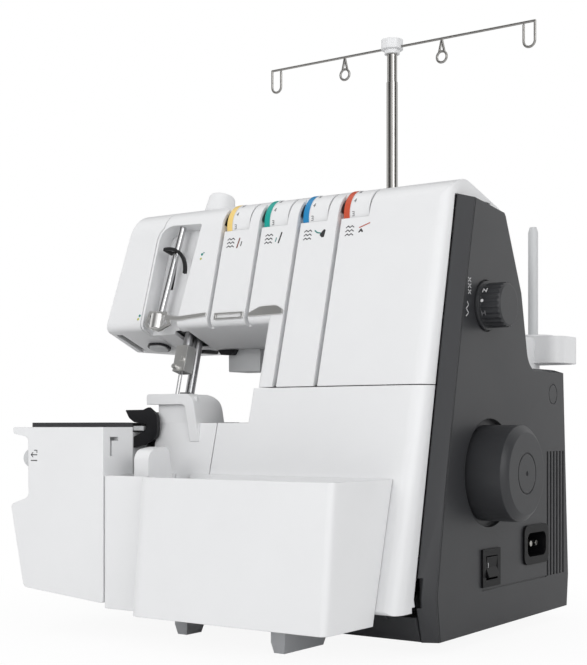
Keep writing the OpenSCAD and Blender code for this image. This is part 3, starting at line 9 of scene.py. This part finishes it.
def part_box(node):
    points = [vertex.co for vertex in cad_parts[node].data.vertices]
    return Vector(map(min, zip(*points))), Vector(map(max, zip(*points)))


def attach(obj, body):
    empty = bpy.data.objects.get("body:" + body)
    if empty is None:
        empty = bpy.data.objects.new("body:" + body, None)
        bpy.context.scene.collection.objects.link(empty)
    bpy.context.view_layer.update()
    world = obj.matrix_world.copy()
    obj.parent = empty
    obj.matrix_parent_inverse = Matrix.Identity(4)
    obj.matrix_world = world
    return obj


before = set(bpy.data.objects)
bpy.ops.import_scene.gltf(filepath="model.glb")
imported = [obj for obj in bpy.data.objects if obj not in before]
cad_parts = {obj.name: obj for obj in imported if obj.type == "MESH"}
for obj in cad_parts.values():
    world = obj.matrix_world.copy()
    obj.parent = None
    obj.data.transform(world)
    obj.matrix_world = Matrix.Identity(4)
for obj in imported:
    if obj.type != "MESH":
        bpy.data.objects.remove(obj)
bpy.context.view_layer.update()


# ---- Camera and floor
# A portrait view from the front right, a little above the table, with a long lens.
# The floor is a pale table top that turns white away from the machine.
LENS = 70.4
SENSOR = 36
FRAME_RISE = 0.1421  # how far the picture is shifted up, in picture widths
EYE_AT = (0.53453, -0.7838, 0.14387)
EYE_TURN = 35  # degrees round from the front towards the handwheel side
eye = bpy.data.cameras.new("eye")
eye.lens = LENS
eye.sensor_width = SENSOR
eye.shift_y = FRAME_RISE
camera = bpy.data.objects.new("camera", eye)
camera.location = EYE_AT
camera.rotation_euler = (math.radians(90), 0, math.radians(EYE_TURN))
bpy.context.scene.collection.objects.link(camera)
bpy.context.scene.camera = camera
bpy.context.scene.view_settings.view_transform = "Standard"

FLOOR_SIZE = 60
FLOOR_NEAR = 0.1  # the shadow is strongest within this distance, and gone past FLOOR_FAR
FLOOR_FAR = 0.4
FLOOR_GLOW = 0.92  # how much of the floor the camera sees as white where the shadow is strongest
bpy.ops.object.select_all(action="DESELECT")
bpy.ops.mesh.primitive_plane_add(size=FLOOR_SIZE, location=(0, 0, 0))
floor = bpy.context.object
floor.name = "table_top"
top_mat = bpy.data.materials.new("table_top")
top_mat.use_nodes = True
top = top_mat.node_tree
top.nodes.clear()
output = top.nodes.new("ShaderNodeOutputMaterial")
surface = top.nodes.new("ShaderNodeBsdfPrincipled")
surface.inputs["Base Color"].default_value = (0.9, 0.9, 0.9, 1)
surface.inputs["Roughness"].default_value = 0.6
surface.inputs["Specular IOR Level"].default_value = 0.2
glow = top.nodes.new("ShaderNodeEmission")
place = top.nodes.new("ShaderNodeTexCoord")
reach = top.nodes.new("ShaderNodeVectorMath")
reach.operation = "LENGTH"
fade = top.nodes.new("ShaderNodeMapRange")
fade.interpolation_type = "SMOOTHSTEP"
fade.inputs["From Min"].default_value = FLOOR_NEAR
fade.inputs["From Max"].default_value = FLOOR_FAR
fade.inputs["To Min"].default_value = FLOOR_GLOW
path = top.nodes.new("ShaderNodeLightPath")
share = top.nodes.new("ShaderNodeMath")
share.operation = "MULTIPLY"
blend = top.nodes.new("ShaderNodeMixShader")
top.links.new(place.outputs["Object"], reach.inputs[0])
top.links.new(reach.outputs["Value"], fade.inputs["Value"])
top.links.new(fade.outputs["Result"], share.inputs[0])
top.links.new(path.outputs["Is Camera Ray"], share.inputs[1])
top.links.new(share.outputs["Value"], blend.inputs["Fac"])
top.links.new(surface.outputs["BSDF"], blend.inputs[1])
top.links.new(glow.outputs["Emission"], blend.inputs[2])
top.links.new(blend.outputs["Shader"], output.inputs["Surface"])
floor.data.materials.append(top_mat)


# ---- Light
# A broad key from the left front, a weaker fill from the right and a panel overhead.
# The camera sees a white world, and reflections see bright and dark panels standing round.
AMBIENT = 0.6
PANELS = 3  # bright panels round the machine in its reflections
PANEL_TURN = 4.5
PANEL_EDGE = 0.6  # the smaller, the sharper a panel's edge
PANEL_GAP = 0.1  # brightness between panels
world = bpy.data.worlds.new("studio")
bpy.context.scene.world = world
world.use_nodes = True
sky = world.node_tree
sky.nodes.clear()
sky_out = sky.nodes.new("ShaderNodeOutputWorld")
ambient = sky.nodes.new("ShaderNodeBackground")
ambient.inputs["Strength"].default_value = AMBIENT
white = sky.nodes.new("ShaderNodeBackground")
white.inputs["Color"].default_value = (1, 1, 1, 1)
rays = sky.nodes.new("ShaderNodeLightPath")
seen = sky.nodes.new("ShaderNodeMath")
seen.operation = "MAXIMUM"
mixed = sky.nodes.new("ShaderNodeMixShader")
clear = sky.nodes.new("ShaderNodeMath")
clear.operation = "MAXIMUM"
sky.links.new(rays.outputs["Is Camera Ray"], seen.inputs[0])
sky.links.new(rays.outputs["Is Transmission Ray"], seen.inputs[1])
sky.links.new(seen.outputs["Value"], clear.inputs[0])
sky.links.new(rays.outputs["Is Glossy Ray"], clear.inputs[1])
sky.links.new(clear.outputs["Value"], mixed.inputs["Fac"])
toward = sky.nodes.new("ShaderNodeTexCoord")
split_dir = sky.nodes.new("ShaderNodeSeparateXYZ")
around = sky.nodes.new("ShaderNodeMath")
around.operation = "ARCTAN2"
turned = sky.nodes.new("ShaderNodeMath")
turned.operation = "MULTIPLY_ADD"
turned.inputs[1].default_value = PANELS
turned.inputs[2].default_value = PANEL_TURN
wave = sky.nodes.new("ShaderNodeMath")
wave.operation = "SINE"
panels = sky.nodes.new("ShaderNodeMapRange")
panels.inputs["From Min"].default_value = -PANEL_EDGE
panels.inputs["From Max"].default_value = PANEL_EDGE
panels.inputs["To Min"].default_value = PANEL_GAP
panels.inputs["To Max"].default_value = 1
plain = sky.nodes.new("ShaderNodeMix")
plain.data_type = "FLOAT"
plain.inputs["A"].default_value = 1
sky.links.new(toward.outputs["Generated"], split_dir.inputs["Vector"])
sky.links.new(split_dir.outputs["Y"], around.inputs[0])
sky.links.new(split_dir.outputs["X"], around.inputs[1])
sky.links.new(around.outputs["Value"], turned.inputs[0])
sky.links.new(turned.outputs["Value"], wave.inputs[0])
sky.links.new(wave.outputs["Value"], panels.inputs["Value"])
sky.links.new(rays.outputs["Is Glossy Ray"], plain.inputs["Factor"])
sky.links.new(panels.outputs["Result"], plain.inputs["B"])
sky.links.new(plain.outputs["Result"], white.inputs["Strength"])
ambient.inputs["Color"].default_value = (1, 1, 1, 1)
sky.links.new(ambient.outputs["Background"], mixed.inputs[1])
sky.links.new(white.outputs["Background"], mixed.inputs[2])
sky.links.new(mixed.outputs["Shader"], sky_out.inputs["Surface"])


LIT = (0, 0, 0.2)  # the middle of the machine


def softbox(name, at, size, power, mirrored=True):
    """A rectangular lamp that faces the machine."""
    lamp = bpy.data.lights.new(name, "AREA")
    lamp.shape = "RECTANGLE"
    lamp.size, lamp.size_y = size
    lamp.energy = power
    box = bpy.data.objects.new(name, lamp)
    box.location = at
    box.rotation_euler = (Vector(LIT) - Vector(at)).to_track_quat("-Z", "Y").to_euler()
    box.visible_glossy = mirrored
    bpy.context.scene.collection.objects.link(box)


softbox("key", (-0.35, -1.7, 0.85), (1.2, 1.0), 10.5, mirrored=False)
softbox("fill", (1.9, -0.9, 0.9), (1.2, 1.2), 12)
softbox("overhead", (0.1, 0.2, 1.9), (1.6, 1.4), 4)


# ---- Moulded skin
# All the covers are injection-moulded plastic with a fine spark-eroded texture, softly
# rounded edges and a faint unevenness in gloss. One group makes that skin for each colour.
def moulded_skin_group():
    group = bpy.data.node_groups.new("moulded_skin", "ShaderNodeTree")
    face = group.interface
    for name, kind in (
        ("Colour", "NodeSocketColor"),
        ("Tone", "NodeSocketFloat"),
        ("Roughness", "NodeSocketFloat"),
        ("Spread", "NodeSocketFloat"),
        ("Grain", "NodeSocketFloat"),
    ):
        face.new_socket(name=name, in_out="INPUT", socket_type=kind)
    for name, kind in (
        ("Colour", "NodeSocketColor"),
        ("Roughness", "NodeSocketFloat"),
        ("Height", "NodeSocketFloat"),
    ):
        face.new_socket(name=name, in_out="OUTPUT", socket_type=kind)
    nodes, link = group.nodes, group.links.new
    given = nodes.new("NodeGroupInput")
    made = nodes.new("NodeGroupOutput")
    where = nodes.new("ShaderNodeTexCoord")
    cloud = nodes.new("ShaderNodeTexNoise")
    cloud.inputs["Scale"].default_value = 26
    cloud.inputs["Detail"].default_value = 3
    grain = nodes.new("ShaderNodeTexNoise")
    grain.inputs["Detail"].default_value = 2
    link(where.outputs["Object"], cloud.inputs["Vector"])
    link(where.outputs["Object"], grain.inputs["Vector"])
    link(given.outputs["Grain"], grain.inputs["Scale"])
    centred = nodes.new("ShaderNodeMath")
    centred.operation = "SUBTRACT"
    centred.inputs[1].default_value = 0.5
    link(cloud.outputs["Fac"], centred.inputs[0])
    tone = nodes.new("ShaderNodeMath")
    tone.operation = "MULTIPLY_ADD"
    tone.inputs[2].default_value = 1
    link(centred.outputs["Value"], tone.inputs[0])
    link(given.outputs["Tone"], tone.inputs[1])
    tinted = nodes.new("ShaderNodeVectorMath")
    tinted.operation = "SCALE"
    link(given.outputs["Colour"], tinted.inputs[0])
    link(tone.outputs["Value"], tinted.inputs["Scale"])
    gloss = nodes.new("ShaderNodeMath")
    gloss.operation = "MULTIPLY_ADD"
    link(centred.outputs["Value"], gloss.inputs[0])
    link(given.outputs["Spread"], gloss.inputs[1])
    link(given.outputs["Roughness"], gloss.inputs[2])
    link(tinted.outputs["Vector"], made.inputs["Colour"])
    link(gloss.outputs["Value"], made.inputs["Roughness"])
    link(grain.outputs["Fac"], made.inputs["Height"])
    return group


moulded_skin = moulded_skin_group()


def moulded(
    name, colour, roughness, grain=2600, depth=0.000012, edge=0.0007, tone=0.05, specular=0.5,
):
    """A moulded plastic whose edges look rounded to the radius edge."""
    material = bpy.data.materials.new(name)
    material.use_nodes = True
    nodes, link = material.node_tree.nodes, material.node_tree.links.new
    shader = nodes["Principled BSDF"]
    skin = nodes.new("ShaderNodeGroup")
    skin.node_tree = moulded_skin
    skin.inputs["Colour"].default_value = (*colour, 1)
    skin.inputs["Tone"].default_value = tone
    skin.inputs["Roughness"].default_value = roughness
    skin.inputs["Spread"].default_value = 0.1
    shader.inputs["Specular IOR Level"].default_value = specular
    skin.inputs["Grain"].default_value = grain
    link(skin.outputs["Colour"], shader.inputs["Base Color"])
    link(skin.outputs["Roughness"], shader.inputs["Roughness"])
    bump = nodes.new("ShaderNodeBump")
    bump.inputs["Distance"].default_value = depth
    link(skin.outputs["Height"], bump.inputs["Height"])
    rounding = nodes.new("ShaderNodeBevel")
    rounding.samples = 6
    rounding.inputs["Radius"].default_value = edge
    link(rounding.outputs["Normal"], bump.inputs["Normal"])
    link(bump.outputs["Normal"], shader.inputs["Normal"])
    return material


def dress(material, *names):
    """Gives CAD nodes their finish and smooths what is round on them."""
    for name in names:
        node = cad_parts[name]
        node.data.materials.clear()
        node.data.materials.append(material)
        node.data.polygons.foreach_set("use_smooth", [True] * len(node.data.polygons))
        weld = node.modifiers.new("weld", "WELD")
        weld.merge_threshold = 0.00001
        split = node.modifiers.new("split", "EDGE_SPLIT")
        split.split_angle = math.radians(24)


WHITE = (0.77, 0.775, 0.785)
white_plastic = moulded("white_plastic", WHITE, 0.36)
dress(
    white_plastic,
    "front_upper_cover", "face_cover", "rear_cover", "looper_cover", "finger_guard",
    "trim_bin", "extension_table", "spool_stand", "antenna_cap", "pressure_knob",
)

# ---- Dark covers
# The side cover, the base and the hand controls are charcoal plastic with a coarser texture.
# The switch and the inlet are plain black, and the plates of the bed are black with a grain.
dark_plastic = moulded(
    "dark_plastic", (0.03, 0.031, 0.034), 0.42,
    grain=1500, depth=0.00003, edge=0.0011, tone=0.12, specular=0.42,
)
dress(dark_plastic, "base_tray", "right_side_cover", "handwheel", "stitch_dial")
black_plastic = moulded("black_plastic", (0.014, 0.014, 0.016), 0.34, edge=0.0004, specular=0.3)
dress(
    black_plastic,
    "presser_lifter", "lamp_bezel", "head_clips", "looper_shield",
)
fitting_black = moulded("fitting_black", (0.006, 0.006, 0.007), 0.4, edge=0.0004, specular=0.14)
dress(fitting_black, "switch_housing", "switch_rocker", "power_inlet")
lever_black = moulded("lever_black", (0.006, 0.006, 0.007), 0.5, edge=0.0003)
dress(lever_black, "take_up_lever")
light_plastic = moulded("light_plastic", (0.6, 0.61, 0.62), 0.45)
dress(
    light_plastic,
    "spool_pins", "bed_arm", "table_release_button", "sewing_lamp", "lamp_lens", "shield_lever",
)
plate_plastic = moulded(
    "plate_plastic", (0.03, 0.03, 0.033), 0.5, grain=1500, depth=0.00003, edge=0.0004,
)
dress(plate_plastic, "table_plate", "bed_plate")
pulley_plastic = moulded("pulley_plastic", (0.03, 0.03, 0.032), 0.5)
dress(pulley_plastic, "shaft_pulley", "motor_pulley")
foot_rubber = moulded("foot_rubber", (0.55, 0.56, 0.58), 0.6)
dress(foot_rubber, "feet")
belt_rubber = moulded("belt_rubber", (0.02, 0.02, 0.02), 0.7)
dress(belt_rubber, "drive_belt")
board_green = moulded("board_green", (0.02, 0.13, 0.05), 0.3)
dress(board_green, "circuit_board")
motor_paint = moulded("motor_paint", (0.08, 0.08, 0.09), 0.4)
dress(motor_paint, "motor")


# ---- Tension dials
# Four white thumbwheels sunk in the crest. The left end of each is a coloured ring that tells
# the threads apart, and small grey numbers stand round the rim beside it.
RING_COLOURS = ((0.83, 0.6, 0.2), (0.0, 0.34, 0.29), (0.01, 0.22, 0.48), (0.55, 0.075, 0.03))
RING_WIDTH = 0.0048
for count, ring in enumerate(RING_COLOURS):
    name = f"tension_dial_{count + 1}"
    dial_left = min(corner[0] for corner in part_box(name))
    finish = moulded(name, WHITE, 0.4)
    nodes, link = finish.node_tree.nodes, finish.node_tree.links.new
    where = nodes.new("ShaderNodeTexCoord")
    across = nodes.new("ShaderNodeSeparateXYZ")
    link(where.outputs["Object"], across.inputs["Vector"])
    past = nodes.new("ShaderNodeMath")
    past.operation = "GREATER_THAN"
    past.inputs[1].default_value = dial_left + RING_WIDTH
    link(across.outputs["X"], past.inputs[0])
    pick = nodes.new("ShaderNodeMix")
    pick.data_type = "RGBA"
    pick.inputs["A"].default_value = (*ring, 1)
    link(past.outputs["Value"], pick.inputs["Factor"])
    skin = next(n for n in nodes if n.type == "GROUP")
    link(skin.outputs["Colour"], pick.inputs["B"])
    link(pick.outputs["Result"], nodes["Principled BSDF"].inputs["Base Color"])
    dress(finish, name)


# ---- Bright metal
# Tubes, rods and wire are drawn steel with a bright plate, the bars and loopers ground steel.
# The flat guides and the needle clamp are folded from sheet, which is paler and less polished.
def metal(name, colour, roughness, depth=0.000004, edge=0.0003):
    """A bare metal with the same fine unevenness as the skin of the covers."""
    material = bpy.data.materials.new(name)
    material.use_nodes = True
    nodes, link = material.node_tree.nodes, material.node_tree.links.new
    shader = nodes["Principled BSDF"]
    shader.inputs["Metallic"].default_value = 1
    skin = nodes.new("ShaderNodeGroup")
    skin.node_tree = moulded_skin
    skin.inputs["Colour"].default_value = (*colour, 1)
    skin.inputs["Tone"].default_value = 0.2
    skin.inputs["Roughness"].default_value = roughness
    skin.inputs["Spread"].default_value = 0.15
    skin.inputs["Grain"].default_value = 900
    link(skin.outputs["Colour"], shader.inputs["Base Color"])
    link(skin.outputs["Roughness"], shader.inputs["Roughness"])
    bump = nodes.new("ShaderNodeBump")
    bump.inputs["Distance"].default_value = depth
    link(skin.outputs["Height"], bump.inputs["Height"])
    rounding = nodes.new("ShaderNodeBevel")
    rounding.samples = 4
    rounding.inputs["Radius"].default_value = edge
    link(rounding.outputs["Normal"], bump.inputs["Normal"])
    link(bump.outputs["Normal"], shader.inputs["Normal"])
    return material


chrome = metal("chrome", (0.58, 0.58, 0.59), 0.16)
dress(
    chrome,
    "thread_guide_rod", "needle_plate", "presser_foot",
)
pole_steel = metal("pole_steel", (0.42, 0.41, 0.395), 0.2)
dress(pole_steel, "pole_outer_tube", "pole_inner_tube")
guide_steel = metal("guide_steel", (0.4, 0.39, 0.375), 0.3)
dress(guide_steel, "antenna_wire")
sheet_steel = metal("sheet_steel", (0.78, 0.775, 0.76), 0.36)
dress(sheet_steel, "thread_guide_bar", "needle_clamp")
ground_steel = metal("ground_steel", (0.4, 0.4, 0.41), 0.28)
dress(
    ground_steel,
    "cover_hinge_rod", "feed_dogs", "tension_axle", "main_shaft", "shaft_bearings", "arm_shaft",
    "needle_bar", "needles", "presser_bar", "presser_spring", "upper_looper",
    "lower_looper", "upper_knife", "lower_knife", "cover_screws",
)
cast_alloy = metal("cast_alloy", (0.5, 0.5, 0.51), 0.5, depth=0.00005)
dress(cast_alloy, "frame_casting")
pin_nickel = metal("pin_nickel", (0.5, 0.49, 0.46), 0.3)
dress(pin_nickel, "inlet_pins")

# ---- Printed marks
# Threading signs, pointers and numbers are pad printed: closed flat shapes about a tenth of a
# millimetre proud of the plastic they mark. Sizes are millimetres on the machine's own axes.
MACHINE_AT = Vector((0.140925, -0.062, 0))  # the machine's own origin in the frame, metres
LEAN = math.radians(14.6)
FRONT_FOOT_Y = -43.5  # where the leaning front would meet the table
PRINT_HEIGHT = 0.1
PRINT_DEPTH = 0.03
SIGN_SCALE = 1.15


def on_front(x, z):
    """Place on the leaning front: across, up the lean, outward."""
    s, c = math.sin(LEAN), math.cos(LEAN)
    y = FRONT_FOOT_Y + math.tan(LEAN) * z
    spot = Matrix(((1, 0, 0, x), (0, s, -c, y), (0, c, s, z), (0, 0, 0, 1)))
    return spot @ Matrix.Diagonal((SIGN_SCALE, SIGN_SCALE, 1, 1))


def on_right(y, z, x=0):
    """Place on the right side: towards the back, up, outward."""
    return Matrix(((0, 0, 1, x), (1, 0, 0, y), (0, 1, 0, z), (0, 0, 0, 1)))


def around_x(x, y, z, radius, angle):
    """Place on a drum that lies along X: across, up the rim, outward."""
    s, c = math.sin(angle), math.cos(angle)
    y, z = y - radius * c, z + radius * s
    return Matrix(((1, 0, 0, x), (0, s, -c, y), (0, c, s, z), (0, 0, 0, 1)))


def strokes(points, width):
    """Bars of one width along a line of points."""
    bars = []
    for a, b in zip(points, points[1:]):
        run = (Vector(b) - Vector(a)).normalized() * width / 2
        side = Vector((-run.y, run.x))
        a2, b2 = Vector(a) - run * 0.6, Vector(b) + run * 0.6
        bars.append([a2 - side, b2 - side, b2 + side, a2 + side])
    return bars


def printed(name, place, shapes, material, body):
    """One mark: each flat shape becomes a closed plate that just stands out of the plastic."""
    mesh = bpy.data.meshes.new(name)
    build = bmesh.new()
    for shape in shapes:
        low = [build.verts.new(place @ Vector((p[0], p[1], -PRINT_DEPTH))) for p in shape]
        top = [build.verts.new(place @ Vector((p[0], p[1], PRINT_HEIGHT))) for p in shape]
        build.faces.new(top)
        build.faces.new(low[::-1])
        for i in range(len(shape)):
            j = (i + 1) % len(shape)
            build.faces.new((low[i], low[j], top[j], top[i]))
    bmesh.ops.recalc_face_normals(build, faces=build.faces)
    for vertex in build.verts:
        vertex.co = vertex.co / 1000 + MACHINE_AT
    build.to_mesh(mesh)
    build.free()
    mesh.materials.append(material)
    mark = bpy.data.objects.new(name, mesh)
    bpy.context.scene.collection.objects.link(mark)
    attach(mark, body)


def ring_shape(radius, sides=12, at=(0, 0)):
    """A small disc."""
    turns = [math.tau * i / sides for i in range(sides)]
    return [(at[0] + radius * math.cos(t), at[1] + radius * math.sin(t)) for t in turns]


ink_grey = moulded("ink_grey", (0.2, 0.2, 0.21), 0.5)
ink_dark = moulded("ink_dark", (0.09, 0.09, 0.095), 0.5)
ink_black = moulded("ink_black", (0.03, 0.03, 0.032), 0.5)
ink_white = moulded("ink_white", (0.75, 0.75, 0.76), 0.5)
ink_teal = moulded("ink_teal", (0.03, 0.25, 0.22), 0.5)
ink_brown = moulded("ink_brown", (0.2, 0.05, 0.03), 0.5)
ink_red = moulded("ink_red", (0.5, 0.12, 0.08), 0.5)
ink_yellow = moulded("ink_yellow", (0.5, 0.5, 0.12), 0.5)
# a sign of three waves under each dial
WAVE_ROWS = (-2.5, 0, 2.5)
WAVE_RISE = 0.5
WAVE_SIGN_X = (-187.9, -153.6, -119.9, -85.2)
WAVE_SIGN_Z = 278.2
waves = []
for v in WAVE_ROWS:
    low, top = v - WAVE_RISE, v + WAVE_RISE
    waves += strokes([(-2.7, low), (-1.35, top), (0, low), (1.35, top), (2.7, low)], 0.6)
for count, x in enumerate(WAVE_SIGN_X):
    printed(f"wave_sign_{count + 1}", on_front(x, WAVE_SIGN_Z), waves, ink_dark, "casing")
# the needle or looper that each thread goes to, then the threading points beside the recess and
# on the face cover: where each mark is on the front, its shapes and its ink
LEFT_NEEDLE, RIGHT_NEEDLE = (-179.8, 277.4), (-144.8, 278.2)
UPPER_LOOPER, LOWER_LOOPER = (-109.6, 278.3), (-74.7, 278.8)
UPPER_EYE = [(-0.2, -1), (1.6, -2.6), (3.2, -2.4), (3.8, 2), (2.6, 2.6), (1, 0.9)]
LOWER_EYE = [(-3, -2.2), (-1.2, 0.3), (0.6, -1.9), (-0.4, -2.3), (-1.2, -1.3), (-2, -2.4)]
for name, (x, z), shapes, ink in (
    ("left_needle_sign", LEFT_NEEDLE, strokes([(-1.6, -3), (-0.3, 3.2)], 0.9), ink_brown),
    ("left_needle_pair", LEFT_NEEDLE, strokes([(1.3, -2), (1.7, 0.8)], 0.6), ink_black),
    ("right_needle_sign", RIGHT_NEEDLE, strokes([(0.2, -3.2), (1.7, 3.4)], 1), ink_black),
    ("right_needle_pair", RIGHT_NEEDLE, strokes([(-2.2, -2.2), (-1.8, 0.2)], 0.6), ink_teal),
    ("upper_looper_sign", UPPER_LOOPER, strokes([(-4, 2.2), (-2.2, 0.8), (0.2, 0.3)], 0.8), ink_teal),
    ("upper_looper_eye", UPPER_LOOPER, [UPPER_EYE], ink_black),
    ("lower_looper_sign", LOWER_LOOPER, strokes([(-2.4, 0.8), (4.4, 3.2)], 0.7), ink_red),
    ("lower_looper_eye", LOWER_LOOPER, [LOWER_EYE], ink_black),
    ("thread_point_upper", (-213.4, 271.5), [ring_shape(0.9), ring_shape(0.5, 8, (1.4, 1))], ink_teal),
    ("thread_point_lower", (-213.9, 268.2), [ring_shape(0.8)], ink_yellow),
    ("face_point_upper", (-264.6, 227.8), [ring_shape(0.9)], ink_teal),
    ("face_point_lower", (-265.6, 225.2), [ring_shape(0.9)], ink_yellow),
):
    printed(name, on_front(x, z), shapes, ink, "casing")
# stitch signs beside the stitch dial
cross_stitch = []
for v in (-4, 0, 4):
    low, top = v - 1.3, v + 1.3
    cross_stitch += strokes([(-1.8, low), (1.8, top)], 0.55) + strokes([(-1.8, top), (1.8, low)], 0.55)
zigzag = strokes([(-1.6, -4.6), (1.8, -2.2), (-1.6, 0.4), (1.8, 2.8), (0, 5)], 0.55)
printed("overlock_sign", on_right(41.2, 236.4), cross_stitch, ink_white, "casing")
printed("zigzag_sign", on_right(37.9, 220.8), zigzag, ink_white, "casing")
# marks round the stitch dial: how far out, how far round, the shapes and the ink
STITCH_AXIS = (65, 225)
STITCH_RIM = 15
LETTER = strokes([(-1.3, -1.5), (-1.3, 1.5), (1.3, -1.5), (1.3, 1.5)], 0.6)
SIDE_BARS = strokes([(-1.2, 1.4), (-1.2, -1.4)], 0.6) + strokes([(1.2, 1.4), (1.2, -1.4)], 0.6)
for name, x, turn, shapes, ink in (
    ("stitch_letter", 5.2, 37, LETTER, ink_white),
    ("stitch_dot", 4.4, 8, [ring_shape(1.1)], ink_white),
    ("stitch_bars", 5, -24, SIDE_BARS + strokes([(-1.2, 0), (1.2, 0)], 0.6), ink_grey),
):
    printed(name, around_x(x, *STITCH_AXIS, STITCH_RIM, math.radians(turn)), shapes, ink, "stitch")
# the stroke for on, beside the rocker
on_stroke = strokes([(0, -1.6), (0, 1.6)], 0.6)
printed("switch_on", on_right(65.8, 51.5, 1.2), on_stroke, ink_white, "casing")
# a sign of the table drawn off to the left, near the table's end
TABLE_SIGN_X = -286
TABLE_SIGN_Z = 123.8
table_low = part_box("extension_table")[0]
table_front = (table_low.y - MACHINE_AT.y) * 1000
on_table = Matrix((
    (1, 0, 0, TABLE_SIGN_X), (0, 0, -1, table_front), (0, 1, 0, TABLE_SIGN_Z), (0, 0, 0, 1),
))
arrow = strokes([(3, 0.4), (-2.6, 0.4)], 0.7) + strokes([(-1, 2), (-2.8, 0.4), (-1, -1.2)], 0.6)
bracket = strokes([(-3, -3.6), (3, -3.6)], 0.7) + strokes([(0.4, 3.6), (3, 3.6), (3, 1.8)], 0.6)
printed("table_sign", on_table, arrow + bracket, ink_dark, "table")

# numbers 0 to 9 round each tension dial
DIGIT_STEP = 31  # degrees from one number to the next
DIGIT_SHOWN = 4  # this number stands at the front, DIGIT_FRONT degrees up the rim
DIGIT_FRONT = 32
DIGIT_X = 7.4  # from the ring's end to the middle of a number
DIGIT_SINK = 0.4
DIGIT_SCALE = 0.75
DIGIT_STROKE = 0.42
DIGIT_PATHS = (
    ((0, 0), (2, 0), (2, 4), (0, 4), (0, 0)),
    ((1, 0), (1, 4)),
    ((2, 0), (0, 0), (0, 2), (2, 2), (2, 4), (0, 4)),
    ((0, 0), (2, 0), (2, 2), (0.4, 2), (2, 2), (2, 4), (0, 4)),
    ((1.6, 0), (1.6, 4), (0, 1.4), (2.2, 1.4)),
    ((0, 0), (2, 0), (2, 2), (0, 2), (0, 4), (2, 4)),
    ((2, 4), (0, 4), (0, 0), (2, 0), (2, 2), (0, 2)),
    ((0.6, 0), (2, 4), (0, 4)),
    ((0, 2), (0, 0), (2, 0), (2, 4), (0, 4), (0, 2), (2, 2)),
    ((0, 0), (2, 0), (2, 4), (0, 4), (0, 2), (2, 2)),
)
for count in range(4):
    low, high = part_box(f"tension_dial_{count + 1}")
    middle = ((low + high) / 2 - MACHINE_AT) * 1000
    radius = (high.z - low.z) * 500 - DIGIT_SINK
    x = (low.x - MACHINE_AT.x) * 1000 + DIGIT_X
    for number, path in enumerate(DIGIT_PATHS):
        angle = math.radians(DIGIT_FRONT + DIGIT_STEP * (number - DIGIT_SHOWN))
        place = around_x(x, middle.y, middle.z, radius, angle)
        points = [((u - 1) * DIGIT_SCALE, (v - 2) * DIGIT_SCALE) for u, v in path]
        shapes = strokes(points, DIGIT_STROKE)
        printed(f"dial_{count + 1}_number_{number}", place, shapes, ink_grey, f"tension_{count + 1}")
